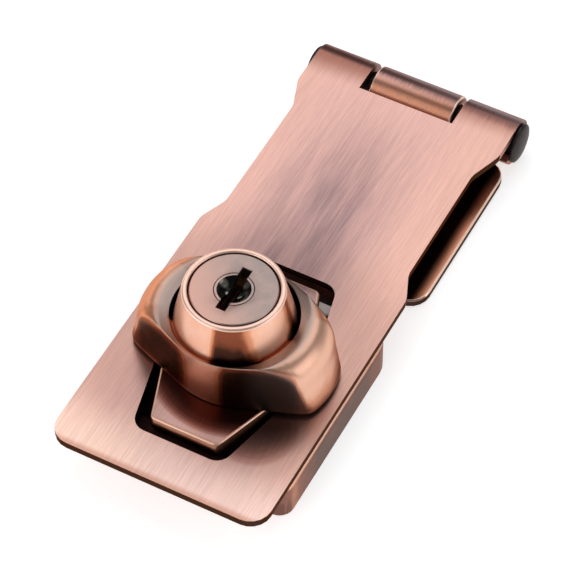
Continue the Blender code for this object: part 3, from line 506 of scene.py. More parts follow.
@dataclass(frozen=True)
class PlugMetal(PlainMetal):
    """The key plug's face, pinker on one side and greyer towards the other, a painted
    reflection.
    """

    # painted reflection: pink on one side of the face
    pink: Colour = (0.57, 0.345, 0.29)
    centre: float = -17.45
    pink_way: float = -45.0
    pink_band: tuple[float, float] = (3.5, -5.5)

    def wear_and_light(self, g: Graph, colour: bpy.types.NodeSocket) -> bpy.types.NodeSocket:
        """Returns the colour with its pink side, a painted reflection."""
        along = g.axes(shift=(0.0, -self.centre, 0.0),
                       turn=(0.0, 0.0, math.radians(self.pink_way)))[0]
        return g.blend(g.span(along, *self.pink_band), colour, self.pink)


@dataclass(frozen=True)
class PolishedDish(PlainMetal):
    """The dark polish of the eye's dish, with paler patches painted on as its highlights."""

    # painted highlights on the dark dish
    pale: Colour = (0.26, 0.24, 0.21)
    patches: tuple[tuple[float, ...], ...] = (
        (-1.75, -16.97, 0.62, 0.85), (1.05, -15.95, 0.5, 0.5), (1.05, -17.9, 0.4, 0.7),
        (-0.75, -17.9, 0.3, 0.9))

    def wear_and_light(self, g: Graph, colour: bpy.types.NodeSocket) -> bpy.types.NodeSocket:
        """Returns the colour with its pale patches of painted highlight, each given by place,
        size and strength.
        """
        for x, y, size, strength in self.patches:
            near = g.span(g.away(x, y), size * 1.25, size * 0.45)
            colour = g.blend(g.times(near, strength), colour, self.pale)
        return colour


PLUG_FACE = PlugMetal("plug_face", (0.42, 0.305, 0.275), (0.30, 0.25, 0.235), 0.33,
                      0.012 * MM)
EYE = PolishedDish("dark_polish", (0.018, 0.019, 0.017), (0.008, 0.008, 0.008), 0.16)
GUNMETAL = PlainMetal("gunmetal", (0.055, 0.047, 0.048), (0.024, 0.02, 0.021), 0.36)
BRASS = PlainMetal("brass", (0.75, 0.56, 0.28), (0.6, 0.42, 0.2), 0.32)
STEEL = PlainMetal("steel", (0.6, 0.6, 0.61), (0.42, 0.42, 0.43), 0.3)


@dataclass
class Workshop:
    """Makes meshes and objects, and remembers each finish so that it is built once."""

    made: dict[str, bpy.types.Material] = field(default_factory=dict)

    def finish(self, finish) -> bpy.types.Material:
        """Returns a finish's material, built on its first use."""
        if finish.name not in self.made:
            self.made[finish.name] = finish.material()
        return self.made[finish.name]

    def copy_node(self, name: str) -> bmesh.types.BMesh:
        """Returns a merged copy of a solid with its flat faces whole again.

        Args:
            name: The solid's name in the frame.
        """
        bm = bmesh.new()
        bm.from_mesh(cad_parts[name].data)
        bmesh.ops.remove_doubles(bm, verts=bm.verts, dist=1e-6)
        bmesh.ops.dissolve_limit(bm, angle_limit=math.radians(0.5), verts=bm.verts,
                                 edges=bm.edges)
        return bm

    def round_edges(self, bm: bmesh.types.BMesh, radius: float, angle: float = 35.0,
                    where: Callable[[bmesh.types.BMEdge], bool] | None = None,
                    segments: int = 3) -> None:
        """Rounds the sharp edges of a mesh and paints the new faces as edges.

        Args:
            bm: The mesh.
            radius: How far the rounding reaches from each edge.
            angle: The least angle between two faces, in degrees, that counts as sharp.
            where: Picks the edges to round.
            segments: Number of faces across each rounding.
        """
        layer = bm.faces.layers.float.new("edge")
        sharp = [e for e in bm.edges if len(e.link_faces) == 2
                 and e.calc_face_angle(0.0) > math.radians(angle)
                 and (where is None or where(e))]
        result = bmesh.ops.bevel(bm, geom=sharp, offset=radius, segments=segments,
                                 affect="EDGES", profile=0.5, material=-1,
                                 clamp_overlap=True)
        for face in result["faces"]:
            face[layer] = 1.0

    def piece(self, bm: bmesh.types.BMesh, name: str, body: str, node: str,
              finishes: Iterable, slot: str, sharp: float = 40.0) -> bpy.types.Object:
        """Turns a mesh into a piece that stands for one solid and rides with its body.

        Args:
            bm: The mesh, in place.
            name: The piece's name.
            body: The body that it rides on.
            node: The solid that it stands for.
            finishes: Its finishes, in the order of its faces' material numbers.
            slot: The record's material slot; not used.
            sharp: Angle in degrees above which an edge stays sharp.

        Returns:
            The piece.
        """
        mesh = mesh_of(bm, name)
        mesh.shade_smooth()
        mesh.set_sharp_from_angle(angle=math.radians(sharp))
        made = add_object(name, mesh)
        for finish in finishes:
            mesh.materials.append(self.finish(finish))
        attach(made, body)
        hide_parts(node)
        LOG.info("%s: %d faces", name, len(mesh.polygons))
        return made

    def settle(self, target: bpy.types.Object) -> None:
        """Makes a piece's modifiers part of its mesh."""
        ready = target.evaluated_get(bpy.context.evaluated_depsgraph_get())
        whole = bpy.data.meshes.new_from_object(ready)
        target.modifiers.clear()
        target.data = whole

    def keep_flats(self, target: bpy.types.Object) -> None:
        """Keeps the shading of large flat faces even up to their rounded edges."""
        step = target.modifiers.new("flats", "WEIGHTED_NORMAL")
        step.mode, step.keep_sharp = "FACE_AREA", True
        self.settle(target)

    def cut_boxes(self, target: bpy.types.Object,
                  boxes: Iterable[tuple[float, ...]]) -> None:
        """Cuts upright boxes, given in millimetres, out of a piece."""
        tools = []
        for limits in boxes:
            bm = bmesh.new()
            bmesh.ops.create_cube(bm, size=1.0)
            low, high = Vector(limits[0::2]) * MM, Vector(limits[1::2]) * MM
            bmesh.ops.scale(bm, verts=bm.verts, vec=high - low)
            bmesh.ops.translate(bm, verts=bm.verts, vec=(low + high) / 2)
            tools.append(add_object("cutter", mesh_of(bm, "cutter")))
            step = target.modifiers.new("cut", "BOOLEAN")
            step.object, step.solver = tools[-1], "EXACT"
        self.settle(target)
        for tool in tools:
            bpy.data.objects.remove(tool)

    def dress(self, node: str, finish) -> None:
        """Gives a solid that stays as it is its finish."""
        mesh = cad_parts[node].data
        mesh.materials.clear()
        mesh.materials.append(self.finish(finish))
        LOG.info("%s: %s", node, finish.name)


@dataclass
class Leaves:
    """The two sheet leaves, whose edges are rounded, rubbed bright and painted brighter as a
    highlight, with painted shade on their cut walls.
    """

    shop: Workshop
    upper_top: float = 6.9 * MM
    lower_top: float = 1.2 * MM
    edge_radius: float = 0.26 * MM
    roll_start: float = 33.0 * MM
    front_depth: float = 2.5 * MM

    def build(self) -> None:
        """Makes both leaves again from their solids."""
        self.leaf("hasp_leaf", "lock", self.upper_top, BrushedCopper())
        self.leaf("mounting_leaf", "lower_leaf", self.lower_top, ShadedCopper())

    def leaf(self, node: str, body: str, top: float, finish: BrushedCopper) -> None:
        """Makes one leaf again, with its upper edges and its roll's edges rounded.

        Args:
            node: The solid's name.
            body: The body that it rides on.
            top: Height of the flat sheet's upper face.
            finish: The copper that it is made of.
        """
        bm = self.shop.copy_node(node)
        self.shop.round_edges(bm, self.edge_radius, where=lambda e: min(
            v.co.z for v in e.verts) > top - NEAR or e.verts[0].co.y > self.roll_start)
        self.paint_wall_shade(bm)
        self.shop.keep_flats(self.shop.piece(bm, node + "_finished", body, node, [finish],
                                             "brushed_copper"))

    def paint_wall_shade(self, bm: bmesh.types.BMesh) -> None:
        """Paints the cut faces of the sheet dark as painted shade, and its front edge nearly
        so.
        """
        edge = bm.faces.layers.float["edge"]
        wall = bm.faces.layers.float.new("wall")
        front = min(v.co.y for v in bm.verts) + self.front_depth
        for face in bm.faces:
            face.normal_update()
            y = face.calc_center_median().y
            upright = abs(face.normal.z) < 0.3 and face[edge] == 0.0
            face[wall] = 1.0 if upright and y < self.roll_start else 0.0
            # painted shade, nearly as dark, on the front edge's rounding
            if face[edge] > 0 and face.normal.y < -0.3 and y < front:
                face[wall] = 0.75


@dataclass
class LockBase:
    """The cast base with its raised boss, whose top is brushed as the leaf is.

    Each pair says how bright a place is and how grey: wear and patina, with painted shade in
    the gap round the boss, on the front and along the side walls, and painted highlights where
    the side wall rounds into the front and on the top edge.
    """

    shop: Workshop
    boss_top: float = 7.35 * MM
    base_top: float = 5.5 * MM
    half_width: float = 15.6 * MM
    front: float = -33.7 * MM
    well: float = -8.0 * MM
    tongue: float = -2.8 * MM
    edge_band: float = 0.45 * MM
    corner_highlight: tuple[float, float] = (-31.0 * MM, 1.4 * MM)
    wall_cut: float = 3.9 * MM
    cuts: tuple[float, ...] = tuple(y * MM for y in (
        -33.0, -32.2, -31.4, -30.6, -29.4, -28.0, -25.0, -20.0, -14.0, -10.0, -7.0, -5.5))
    boss_wear: tuple[float, float] = (0.84, 0.15)
    edge_wear_and_highlight: tuple[float, float] = (0.9, 0.25)
    tongue_wear: tuple[float, float] = (0.9, 0.5)
    hidden_shade: tuple[float, float] = (0.02, 0.0)
    well_wear: tuple[float, float] = (0.02, 0.75)
    inner_wear: tuple[float, float] = (0.12, 0.55)
    front_wear_and_shade: tuple[float, float] = (0.14, 0.0)
    wall_wear_and_shade: tuple[float, float] = (0.22, 0.3)

    def build(self) -> None:
        """Makes the base again from its solid, with its walls cut where their wear and painted
        light change.
        """
        bm = self.shop.copy_node("lock_base")
        planes = [((0.0, y, 0.0), (0.0, 1.0, 0.0)) for y in self.cuts]
        planes.append(((0.0, 0.0, self.wall_cut), (0.0, 0.0, 1.0)))
        for place, normal in planes:
            bmesh.ops.bisect_plane(bm, geom=list(bm.verts) + list(bm.edges) + list(bm.faces),
                                   plane_co=place, plane_no=normal)
        rub = bm.verts.layers.float.new("rub")
        grey = bm.verts.layers.float.new("grey")
        for vert in bm.verts:
            vert[rub], vert[grey] = self.wear_and_light_at(vert.co)
        for face in bm.faces:
            face.normal_update()
            top = face.normal.z > 0.98 and face.calc_center_median().z > self.boss_top - NEAR
            face.material_index = 1 if top else 0
        self.shop.piece(bm, "lock_base_finished", "lock", "lock_base",
                        [CastCopper(), BossCopper()], "satin_copper")

    def wear_and_light_at(self, place: Vector) -> tuple[float, float]:
        """Returns the wear and painted light at one place."""
        if place.z > self.boss_top - 0.35 * MM:
            return self.boss_wear
        outside = max(abs(place.x) - self.half_width,
                      self.front + 0.55 * MM - place.y) > 0
        # the top: a painted highlight on the outer edge, painted shade in the gap round the
        # boss
        if place.z > self.base_top - 0.05 * MM:
            hidden = self.well_wear if place.y > self.well else self.hidden_shade
            return self.edge_wear_and_highlight if outside else hidden
        if place.z > self.base_top - self.edge_band:
            if place.y > self.tongue:
                return self.tongue_wear
            return self.edge_wear_and_highlight if outside else self.inner_wear
        # front wall: patina and painted shade
        if place.y < self.front - 0.4 * MM:
            return self.front_wear_and_shade
        # side walls: a painted highlight where they round into the front, and lighter towards
        # both ends as painted light
        middle, spread = self.corner_highlight
        corner_highlight = 0.2 * math.exp(-((place.y - middle) / spread) ** 2)
        ends = 0.12 * smooth(place.y, -24 * MM, -29 * MM) + 0.12 * smooth(
            place.y, -14 * MM, -5 * MM)
        rub, grey = self.wall_wear_and_shade
        return rub + corner_highlight + ends, grey


@dataclass(frozen=True)
class KnobRubAndLight:
    """How bright the knob's places are painted, near 0 in a recess and near 1 on an edge:
    rubbed wear and patina, and painted light on the flanks, ridge, crown, cone and tips.

    A negative number is how much duller a place is than what lies round it.
    """

    tip: float = 0.62
    tip_foot: float = -0.16
    # flanks: dark as painted reflection, the right flank darker as painted shade, the ridge
    # lit as a painted highlight
    flank: float = 0.24
    flank_right: float = -0.08
    flank_most: float = 0.92
    ridge: float = 0.56
    foot: float = 0.35
    crest: float = 0.28
    end: float = 0.25
    # crown: the wings shaded differently on left, right, outer and rear parts, as painted
    # light
    crown_ridge: float = -0.2
    left_wing: float = 0.82
    left_outer: float = -0.2
    right_wing: float = 0.8
    right_outer: float = -0.28
    right_rear: float = -0.2
    groove: float = 0.25
    groove_worn: float = 0.36
    cone: float = 0.86
    # cone_gap: painted dark reflection bands; cone_foot: painted shade at the cone's foot
    cone_gap: float = -0.78
    cone_foot: float = -0.12
    rim: float = 0.98
    inside: float = 0.3


@dataclass
class CrossKnob:
    """The cross knob: two wings, the collar groove, the cone with its rim and the shank.

    Each direction round the knob has one closed section.  The sections share their number
    of rows, so ring after ring is extruded and set in place.  Directions are in degrees from
    +X: a cone gap, a painted dark reflection band on the cone, has its two ends and how softly
    each fades, an arc of the groove's wear its middle and half.  Boxes are in millimetres.
    """

    shop: Workshop
    centre: float = -17.45 * MM
    length: float = 28.9 * MM
    middle_width: float = 19.4 * MM
    tip_width: float = 8.7 * MM
    ridge_radius: float = 11.5 * MM
    tip_radius: float = 12.5 * MM
    corner_softness: float = 0.036
    foot: float = 7.6 * MM
    foot_rise: float = 0.5 * MM
    wing_top: float = 16.45 * MM
    tip_draft: float = 0.9 * MM
    drop: float = 3.85 * MM
    dish: tuple[float, float] = (1.55 * MM, 0.5 * MM)
    groove_depth: float = 1.1 * MM
    groove_edge: float = 8.75 * MM
    cone_base: float = 16.4 * MM
    cone_top: float = 13.9 * MM
    rim_top: float = 21.37 * MM
    rim_edge: float = 0.35 * MM
    bore_edge: float = 0.25 * MM
    head_bore: float = 6.13 * MM
    seat: float = 19.32 * MM
    bore: float = 5.15 * MM
    ring_radius: float = 5.95 * MM
    ring: tuple[float, float] = (8.3 * MM, 9.5 * MM)
    shank: float = 6.8 * MM
    shank_bottom: float = 0.6 * MM
    clip_groove: tuple[float, float, float] = (6.1 * MM, 1.4 * MM, 2.3 * MM)
    # painted dark reflection bands on the cone
    cone_gaps: tuple[tuple[float, ...], ...] = (
        (-84.0, -46.0, 5.0, 13.0), (6.0, 17.0, 9.0, 6.0), (44.0, 88.0, 6.0, 6.0),
        (154.0, 196.0, 6.0, 6.0))
    worn_arcs: tuple[tuple[float, float], ...] = ((-114.0, 36.0), (-20.0, 21.0))
    worn_depth: float = 0.85
    rub: KnobRubAndLight = KnobRubAndLight()
    tip_steps: int = 16
    flank_steps: int = 24
    ridge_steps: int = 8
    wall_rows: tuple[float, ...] = (
        0.0, 0.04, 0.1, 0.25, 0.4, 0.55, 0.68, 0.78, 0.86, 0.92, 0.96, 0.985)
    roll_steps: int = 20
    crown_rows: int = 24
    groove_rows: tuple[float, ...] = (0.2, 0.45, 0.7, 0.86, 1.0)
    cone_rows: int = 12
    rim_steps: int = 5
    slot_box: tuple[float, ...] = (-2.15, 2.15, -27.65, -20.025, 4.3, 6.6)
    groove_boxes: tuple[tuple[float, ...], ...] = (
        (-3.0, 3.0, -23.4, -11.5, 10.4, 18.4), (-5.95, 5.95, -20.45, -14.45, 10.4, 18.4))

    def flank_reach(self, angle: float) -> float:
        """Returns how far the long hexagon of the knob reaches in one direction."""
        middle, tip = self.middle_width / 2, self.tip_width / 2
        slope = (middle - tip) / (self.length / 2)
        c, s = abs(math.cos(angle)), abs(math.sin(angle))
        reach = middle / (s + slope * c)
        lean = math.atan(slope)
        if reach * c < self.ridge_radius * math.sin(lean):
            inner = middle - self.ridge_radius / math.cos(lean)
            reach = inner * s + math.sqrt(self.ridge_radius ** 2 - (inner * c) ** 2)
        return reach

    def tip_reach(self, angle: float, radius: float) -> float:
        """Returns the wing end's reach in one direction, for a radius along the wing."""
        full = self.length / 2
        offset = full - self.tip_radius
        c, s = abs(math.cos(angle)), abs(math.sin(angle))
        across = max(0.0, self.tip_radius ** 2 - (offset * s) ** 2)
        plan = offset * c + math.sqrt(across)
        inner = self.groove_edge
        fade = max(0.0, min(1.0, 2 * (radius - inner) / (full - inner)))
        return radius * (1 - fade * (1 - plan / full))

    def directions(self) -> list[float]:
        """Returns the section angles, closer together near the edges between faces."""
        low, high = 0.0, math.pi / 2
        for _ in range(50):
            half = (low + high) / 2
            if self.flank_reach(half) > self.tip_reach(half, self.length / 2):
                low = half
            else:
                high = half
        slope = (self.middle_width - self.tip_width) / self.length
        x = self.ridge_radius * math.sin(math.atan(slope))
        ridge = math.atan2(self.middle_width / 2 - slope * x, x)
        tips, flanks, rest = self.tip_steps, self.flank_steps, self.ridge_steps
        quarter = [low * (1 - (1 - k / tips) ** 1.5) for k in range(tips)]
        quarter += [low + (ridge - low) * (k / flanks) ** 1.45 for k in range(flanks)]
        quarter += [ridge + (math.pi / 2 - ridge) * k / rest for k in range(rest)]
        half_turn = quarter + [math.pi / 2] + [math.pi - a for a in reversed(quarter[1:])]
        return half_turn + [a + math.pi for a in half_turn]

    def groove_at(self, angle: float) -> float:
        """Returns the groove's depth in one direction, less where its edge is rubbed down."""
        return self.groove_depth * (1 - self.worn_depth * self.worn_side(angle))

    def wing_line(self, angle: float) -> list[tuple[float, float]]:
        """Returns the wing's outer line, from its foot over the crown into the groove."""
        tip = self.length / 2
        shoulder = (tip - self.tip_draft, self.wing_top - self.drop)
        roll = shoulder[0] - self.groove_edge - self.dish[0]
        line = [(tip, self.foot + self.foot_rise), shoulder]
        for k in range(1, self.roll_steps + 1):
            a = math.pi / 2 * k / self.roll_steps
            line.append((shoulder[0] - roll * (1 - math.cos(a)),
                         shoulder[1] + self.drop * math.sin(a)))
        deep = self.groove_at(angle)
        inner, low = self.cone_base / 2, self.wing_top - self.dish[1] - deep
        line += [(self.groove_edge, self.wing_top - self.dish[1]),
                 (inner + (self.groove_edge - inner) * 0.45, low + 0.1 * deep),
                 (inner, low)]
        return line

    def soften(self, reach: float, radius: float) -> float:
        """Returns the smaller of the flank's and the wing's reach, rounded where they meet."""
        outer = self.length / 2 - self.tip_draft
        fade = (radius - self.groove_edge) / ((outer - self.groove_edge) / 2)
        soft = self.corner_softness * max(0.0, min(1.0, fade))
        low, high = min(reach, radius), max(reach, radius)
        if soft < 1e-4:
            return low
        return low * (1 + (low / high) ** (1 / soft)) ** -soft

    def section(self, angle: float) -> list[tuple[float, float, Zone, float]]:
        """Returns one direction's closed section.

        Args:
            angle: The direction round the knob's axis.

        Returns:
            For each row its radius, its height, its zone and its share along the zone.
        """
        line = [(self.tip_reach(angle, r), z) for r, z in self.wing_line(angle)]
        reach = self.flank_reach(angle)
        start = next(i for i in range(len(line) - 1) if line[i + 1][0] < reach)
        (r0, z0), (r1, z1) = line[start], line[start + 1]
        share = max(0.0, min(1.0, (r0 - reach) / (r0 - r1)))
        crest = (r0 + (r1 - r0) * share, z0 + (z1 - z0) * share)
        rows = []
        for share in self.wall_rows:
            height = self.foot + (crest[1] - self.foot) * share
            outer = line[0][0]
            for (ra, za), (rb, zb) in zip(line, line[1:]):
                if za <= height <= zb and zb > za:
                    outer = ra + (rb - ra) * (height - za) / (zb - za)
                    break
            rows.append((self.soften(reach, outer), height, Zone.WALL, share))
        path = [crest] + line[start + 1:]
        lengths = [0.0]
        for a, b in zip(path, path[1:]):
            lengths.append(lengths[-1] + math.dist(a, b))
        # the crown ends at the groove's edge, or a little down its wall at the ridges
        edge = lengths[-3] if len(path) > 3 else 0.0
        edge = max(edge, 0.35 * lengths[-1])
        last = self.crown_rows - 1
        wanted = [(edge * (k / last) ** 1.4, Zone.CROWN, k / last)
                  for k in range(self.crown_rows)]
        wanted += [(edge + (lengths[-1] - edge) * f, Zone.GROOVE, 1 - f)
                   for f in self.groove_rows]
        for want, zone, share in wanted:
            i = max(j for j in range(len(lengths) - 1) if lengths[j] <= want + 1e-12)
            run = lengths[i + 1] - lengths[i]
            f = 0.0 if run == 0 else min(1.0, (want - lengths[i]) / run)
            radius = path[i][0] + (path[i + 1][0] - path[i][0]) * f
            height = path[i][1] + (path[i + 1][1] - path[i][1]) * f
            rows.append((self.soften(reach, radius), height, zone, share))
        return rows + self.collar(angle) + self.inside()

    def collar(self, angle: float) -> list[tuple[float, float, Zone, float]]:
        """Returns the rows of the groove, the cone and the rim."""
        base, top, edge = self.cone_base / 2, self.cone_top / 2, self.rim_edge
        deep = self.groove_at(angle)
        foot = (base, self.wing_top - self.dish[1] - 0.5 * deep)
        head = (top, self.rim_top - edge)
        rows = [(base, foot[1] - 0.25 * deep, Zone.GROOVE, 0.05)]
        for k in range(self.cone_rows):
            f = k / (self.cone_rows - 1)
            rows.append((foot[0] + (head[0] - foot[0]) * f, foot[1] + (head[1] - foot[1]) * f,
                         Zone.CONE, f))
        for k in range(1, self.rim_steps + 1):
            a = math.pi / 2 * k / self.rim_steps
            rows.append((top - edge * (1 - math.cos(a)),
                         self.rim_top - edge + edge * math.sin(a), Zone.RIM, 0.0))
        for k in range(self.rim_steps):
            a = math.pi / 2 * k / (self.rim_steps - 1)
            rows.append((self.head_bore + self.bore_edge * (1 - math.sin(a)),
                         self.rim_top - self.bore_edge * (1 - math.cos(a)), Zone.RIM, 0.0))
        return rows

    def inside(self) -> list[tuple[float, float, Zone, float]]:
        """Returns the rows of the bores and the shank."""
        neck, clip_low, clip_high = self.clip_groove
        points = [(self.head_bore, self.seat), (self.bore, self.seat),
                  (self.bore, self.ring[1]), (self.ring_radius, self.ring[1]),
                  (self.ring_radius, self.ring[0]), (self.bore, self.ring[0]),
                  (self.bore, self.shank_bottom), (self.shank, self.shank_bottom),
                  (self.shank, clip_low), (neck, clip_low), (neck, clip_high),
                  (self.shank, clip_high), (self.shank, self.foot)]
        return [(r, z, Zone.INSIDE, 0.0) for r, z in points]

    def rub_and_light_at(self, angle: float, zone: Zone, share: float) -> float:
        """Returns how bright the copper is painted at one place of the outside, by wear,
        patina and painted light.
        """
        turn = (angle + TAU) % math.pi - math.pi / 2
        side = self.flank_reach(angle) * math.sin(turn)
        if zone is Zone.WALL:
            return self.wall_rub_and_light(angle, side, share)
        if zone is Zone.CROWN:
            return self.crown_rub_and_light(angle, side, share)
        rub, wear_and_light = self.rub, self.worn_side(angle)
        if zone is Zone.GROOVE:
            return rub.groove * share * (1 - wear_and_light) + (rub.groove_worn + 0.1 * share) * wear_and_light
        if zone is Zone.CONE:
            # the cone's painted reflection bands, and painted shade at its foot
            gap = self.cone_shade(angle) * (rub.cone_gap + 0.3 * smooth(share, 0.0, 0.8))
            foot = math.exp(-(share / 0.08) ** 2) * (1 - wear_and_light)
            return rub.cone + gap + rub.cone_foot * foot
        return rub.rim if zone is Zone.RIM else rub.inside

    def wall_rub_and_light(self, angle: float, side: float, share: float) -> float:
        """Returns how bright the flanks and tips are painted, with painted shade and
        highlights on the flanks.

        Args:
            angle: The direction round the knob's axis.
            side: How far along the flank the place lies from the ridge.
            share: 0 at the foot and 1 at the crest.
        """
        rub = self.rub
        if self.flank_reach(angle) >= self.tip_reach(angle, self.length / 2):
            return rub.tip + rub.tip_foot * smooth(share, 0.6, 0.0)
        # painted light: the right flank darker, a painted highlight down the ridge, bright
        # lines at the foot, crest and ends
        right = smooth(side, -1.0 * MM, 1.5 * MM)
        ridge = smooth(side, -4.6 * MM, -1.6 * MM) * smooth(side, 3.3 * MM, 1.5 * MM)
        foot = math.exp(-(share / 0.05) ** 2) * smooth(side, 1.5 * MM, -1.5 * MM)
        crest = math.exp(-((1 - share) / 0.12) ** 2)
        end = smooth(abs(side), 11.0 * MM, 13.2 * MM)
        return min(rub.flank_most, rub.flank + rub.flank_right * right + rub.ridge * ridge
                   + rub.foot * foot + rub.crest * crest + rub.end * end)

    def crown_rub_and_light(self, angle: float, side: float, share: float) -> float:
        """Returns how bright the crown is painted: duller at the ridges and on the outer
        wings, each wing shaded differently as painted light.

        Args:
            angle: The direction round the knob's axis.
            side: How far along the flank the place lies from the ridge.
            share: 0 at the crest and 1 at the groove's edge.
        """
        rub = self.rub
        ridge = smooth(abs(side), 4.5 * MM, 1.5 * MM) if share < 0.3 else 0.0
        along = smooth(abs(math.cos(angle)), 0.2, 0.7)
        # painted light: the left wing and the right wing painted apart
        if math.cos(angle) < 0:
            return (rub.left_wing + rub.crown_ridge * ridge
                    + rub.left_outer * along * smooth(share, 1.0, 0.75))
        outer = smooth(share, 0.45, 0.05)
        rear = smooth(math.sin(angle), 0.0, 0.4) * smooth(share, 0.9, 0.4)
        return (rub.right_wing + rub.crown_ridge * ridge
                + along * (rub.right_outer * outer + rub.right_rear * rear))

    def worn_side(self, angle: float) -> float:
        """Returns how much the groove is rubbed bright in one direction."""
        wear_and_light = 0.0
        for middle, half in self.worn_arcs:
            away = abs((math.degrees(angle) - middle + 180.0) % 360.0 - 180.0)
            wear_and_light = max(wear_and_light, smooth(away, half + 6.0, half - 6.0))
        return wear_and_light

    def cone_shade(self, angle: float) -> float:
        """Returns how dark the cone's painted reflection bands make its turned finish in one
        direction.
        """
        shade = 0.0
        for left, right, steep, soft in self.cone_gaps:
            middle, half = (left + right) / 2, (right - left) / 2
            a = (math.degrees(angle) - middle + 180.0) % 360.0 - 180.0
            shade = max(shade, smooth(a, -half - steep, -half + steep)
                        * smooth(a, half + soft, half - soft))
        return shade

    def grey_at(self, angle: float, zone: Zone, radius: float) -> float:
        """Returns how grey the copper is painted: most on the flat beside the collar groove,
        as a painted reflection, and some on the tips.
        """
        if zone not in (Zone.CROWN, Zone.WALL):
            return 0.0
        tip = 0.22 * smooth(math.cos(angle), 0.5, 0.8)
        if zone is Zone.WALL:
            return 1.6 * tip
        # painted reflection: grey on the flat beside the collar groove
        inner = smooth(radius, self.groove_edge + 2.8 * MM, self.groove_edge + 1.2 * MM)
        return max(tip, 0.85 * inner)

    def build(self) -> None:
        """Makes the knob again from its sections, with its bolt slot and wafer grooves."""
        angles = self.directions()
        columns = [self.section(a) for a in angles]
        bm = bmesh.new()
        rub = bm.verts.layers.float.new("rub")
        grey = bm.verts.layers.float.new("grey")
        made = bmesh.ops.create_circle(bm, segments=len(angles), radius=self.length / 2)
        ring = sorted(made["verts"], key=lambda v: math.atan2(v.co.y, v.co.x) % TAU)
        first_edges = last_edges = list(bm.edges)
        for row in range(len(columns[0])):
            if row:
                grown = bmesh.ops.extrude_edge_only(bm, edges=last_edges)["geom"]
                last_edges = [e for e in grown if isinstance(e, bmesh.types.BMEdge)]
                fresh = {v for v in grown if isinstance(v, bmesh.types.BMVert)}
                ring = [next(e.other_vert(v) for e in v.link_edges
                             if e.other_vert(v) in fresh) for v in ring]
            for vert, angle, column in zip(ring, angles, columns):
                radius, height, zone, share = column[row]
                vert.co = (radius * math.cos(angle), self.centre + radius * math.sin(angle),
                           height)
                vert[rub] = self.rub_and_light_at(angle, zone, share)
                vert[grey] = self.grey_at(angle, zone, radius)
            last_edges = [e for e in last_edges if e.is_valid
                          and e.verts[0] in set(ring) and e.verts[1] in set(ring)]
        bmesh.ops.bridge_loops(bm, edges=first_edges + last_edges)
        bmesh.ops.recalc_face_normals(bm, faces=bm.faces)
        knob = self.shop.piece(bm, "knob_finished", "cross_knob", "knob", [CastCopper()],
                               "satin_copper")
        self.shop.cut_boxes(knob, (self.slot_box, *self.groove_boxes))


@dataclass
class KeyPlug:
    """The key plug's face, the dark eye round the keyway and the wafers behind it."""

    shop: Workshop
    face: float = 21.27 * MM
    rounded_from: float = 20.0 * MM
    plug_edge: float = 0.07 * MM
    eye_edge: float = 0.06 * MM
    keyway_box: tuple[float, ...] = (-0.7, 0.7, -21.2, -13.7, 19.0, 22.0)
    wafers: int = 5

    def build(self) -> None:
        """Makes the plug and the eye again with softer edges and dresses the wafers."""
        bm = self.shop.copy_node("plug")
        self.shop.round_edges(bm, self.plug_edge, 60.0, lambda e: min(
            v.co.z for v in e.verts) > self.rounded_from, 2)
        self.shop.piece(bm, "plug_finished", "key_plug", "plug", [PLUG_FACE],
                        "brushed_copper")
        bm = self.shop.copy_node("key_eye")
        for face in bm.faces:
            face.normal_update()
            lip = face.normal.z > 0.9 and face.calc_center_median().z > self.face - 0.05 * MM
            face.material_index = 1 if lip else 0
        self.shop.round_edges(bm, self.eye_edge, 60.0, None, 2)
        eye = self.shop.piece(bm, "key_eye_finished", "key_plug", "key_eye",
                              [EYE, PLUG_FACE], "dark_polish", 50.0)
        self.shop.cut_boxes(eye, (self.keyway_box,))
        for number in range(1, self.wafers + 1):
            self.shop.dress(f"wafer_{number}", BRASS)
            self.shop.dress(f"wafer_spring_{number}", STEEL)
        self.shop.dress("retainer_wafer", BRASS)


@dataclass
class HingePin:
    """The hinge pin with a low dome at each end."""

    shop: Workshop
    axis: tuple[float, float] = (36.95 * MM, 3.45 * MM)
    shaft: float = 2.05 * MM
    head: float = 2.95 * MM
    inner: float = 16.12 * MM
    edge: float = 0.1 * MM
    rim: float = 0.35 * MM
    end: float = 17.12 * MM
    dome_steps: int = 12
    round_steps: int = 64

    def build(self) -> None:
        """Spins the pin's outline about the hinge axis."""
        side = [(self.shaft, self.inner), (self.head - self.edge, self.inner),
                (self.head, self.inner + self.edge)]
        for k in range(self.dome_steps):
            a = math.pi / 2 * k / self.dome_steps
            side.append((self.head * math.cos(a), self.inner + self.rim
                         + (self.end - self.inner - self.rim) * math.sin(a)))
        side.append((0.0, self.end))
        outline = [(r, -x) for r, x in reversed(side)] + side
        bm = bmesh.new()
        verts = [bm.verts.new((x, r, 0.0)) for r, x in outline]
        edges = [bm.edges.new(pair) for pair in zip(verts, verts[1:])]
        bmesh.ops.spin(bm, geom=verts + edges, cent=(0, 0, 0), axis=(1, 0, 0), angle=TAU,
                       steps=self.round_steps, use_merge=True)
        bmesh.ops.remove_doubles(bm, verts=bm.verts, dist=1e-7)
        bmesh.ops.translate(bm, verts=bm.verts, vec=(0.0, *self.axis))
        bmesh.ops.recalc_face_normals(bm, faces=bm.faces)
        self.shop.piece(bm, "hinge_pin_finished", "lock", "hinge_pin", [GUNMETAL],
                        "gunmetal")


@dataclass(frozen=True)
class Lamp:
    """One soft lamp that faces the lock.

    Its azimuth goes from +X towards +Y and its elevation up from the floor, in degrees.  Its
    radiance is how bright its face is, where 1 is white.
    """

    name: str
    azimuth: float
    elevation: float
    size: tuple[float, float]
    radiance: float


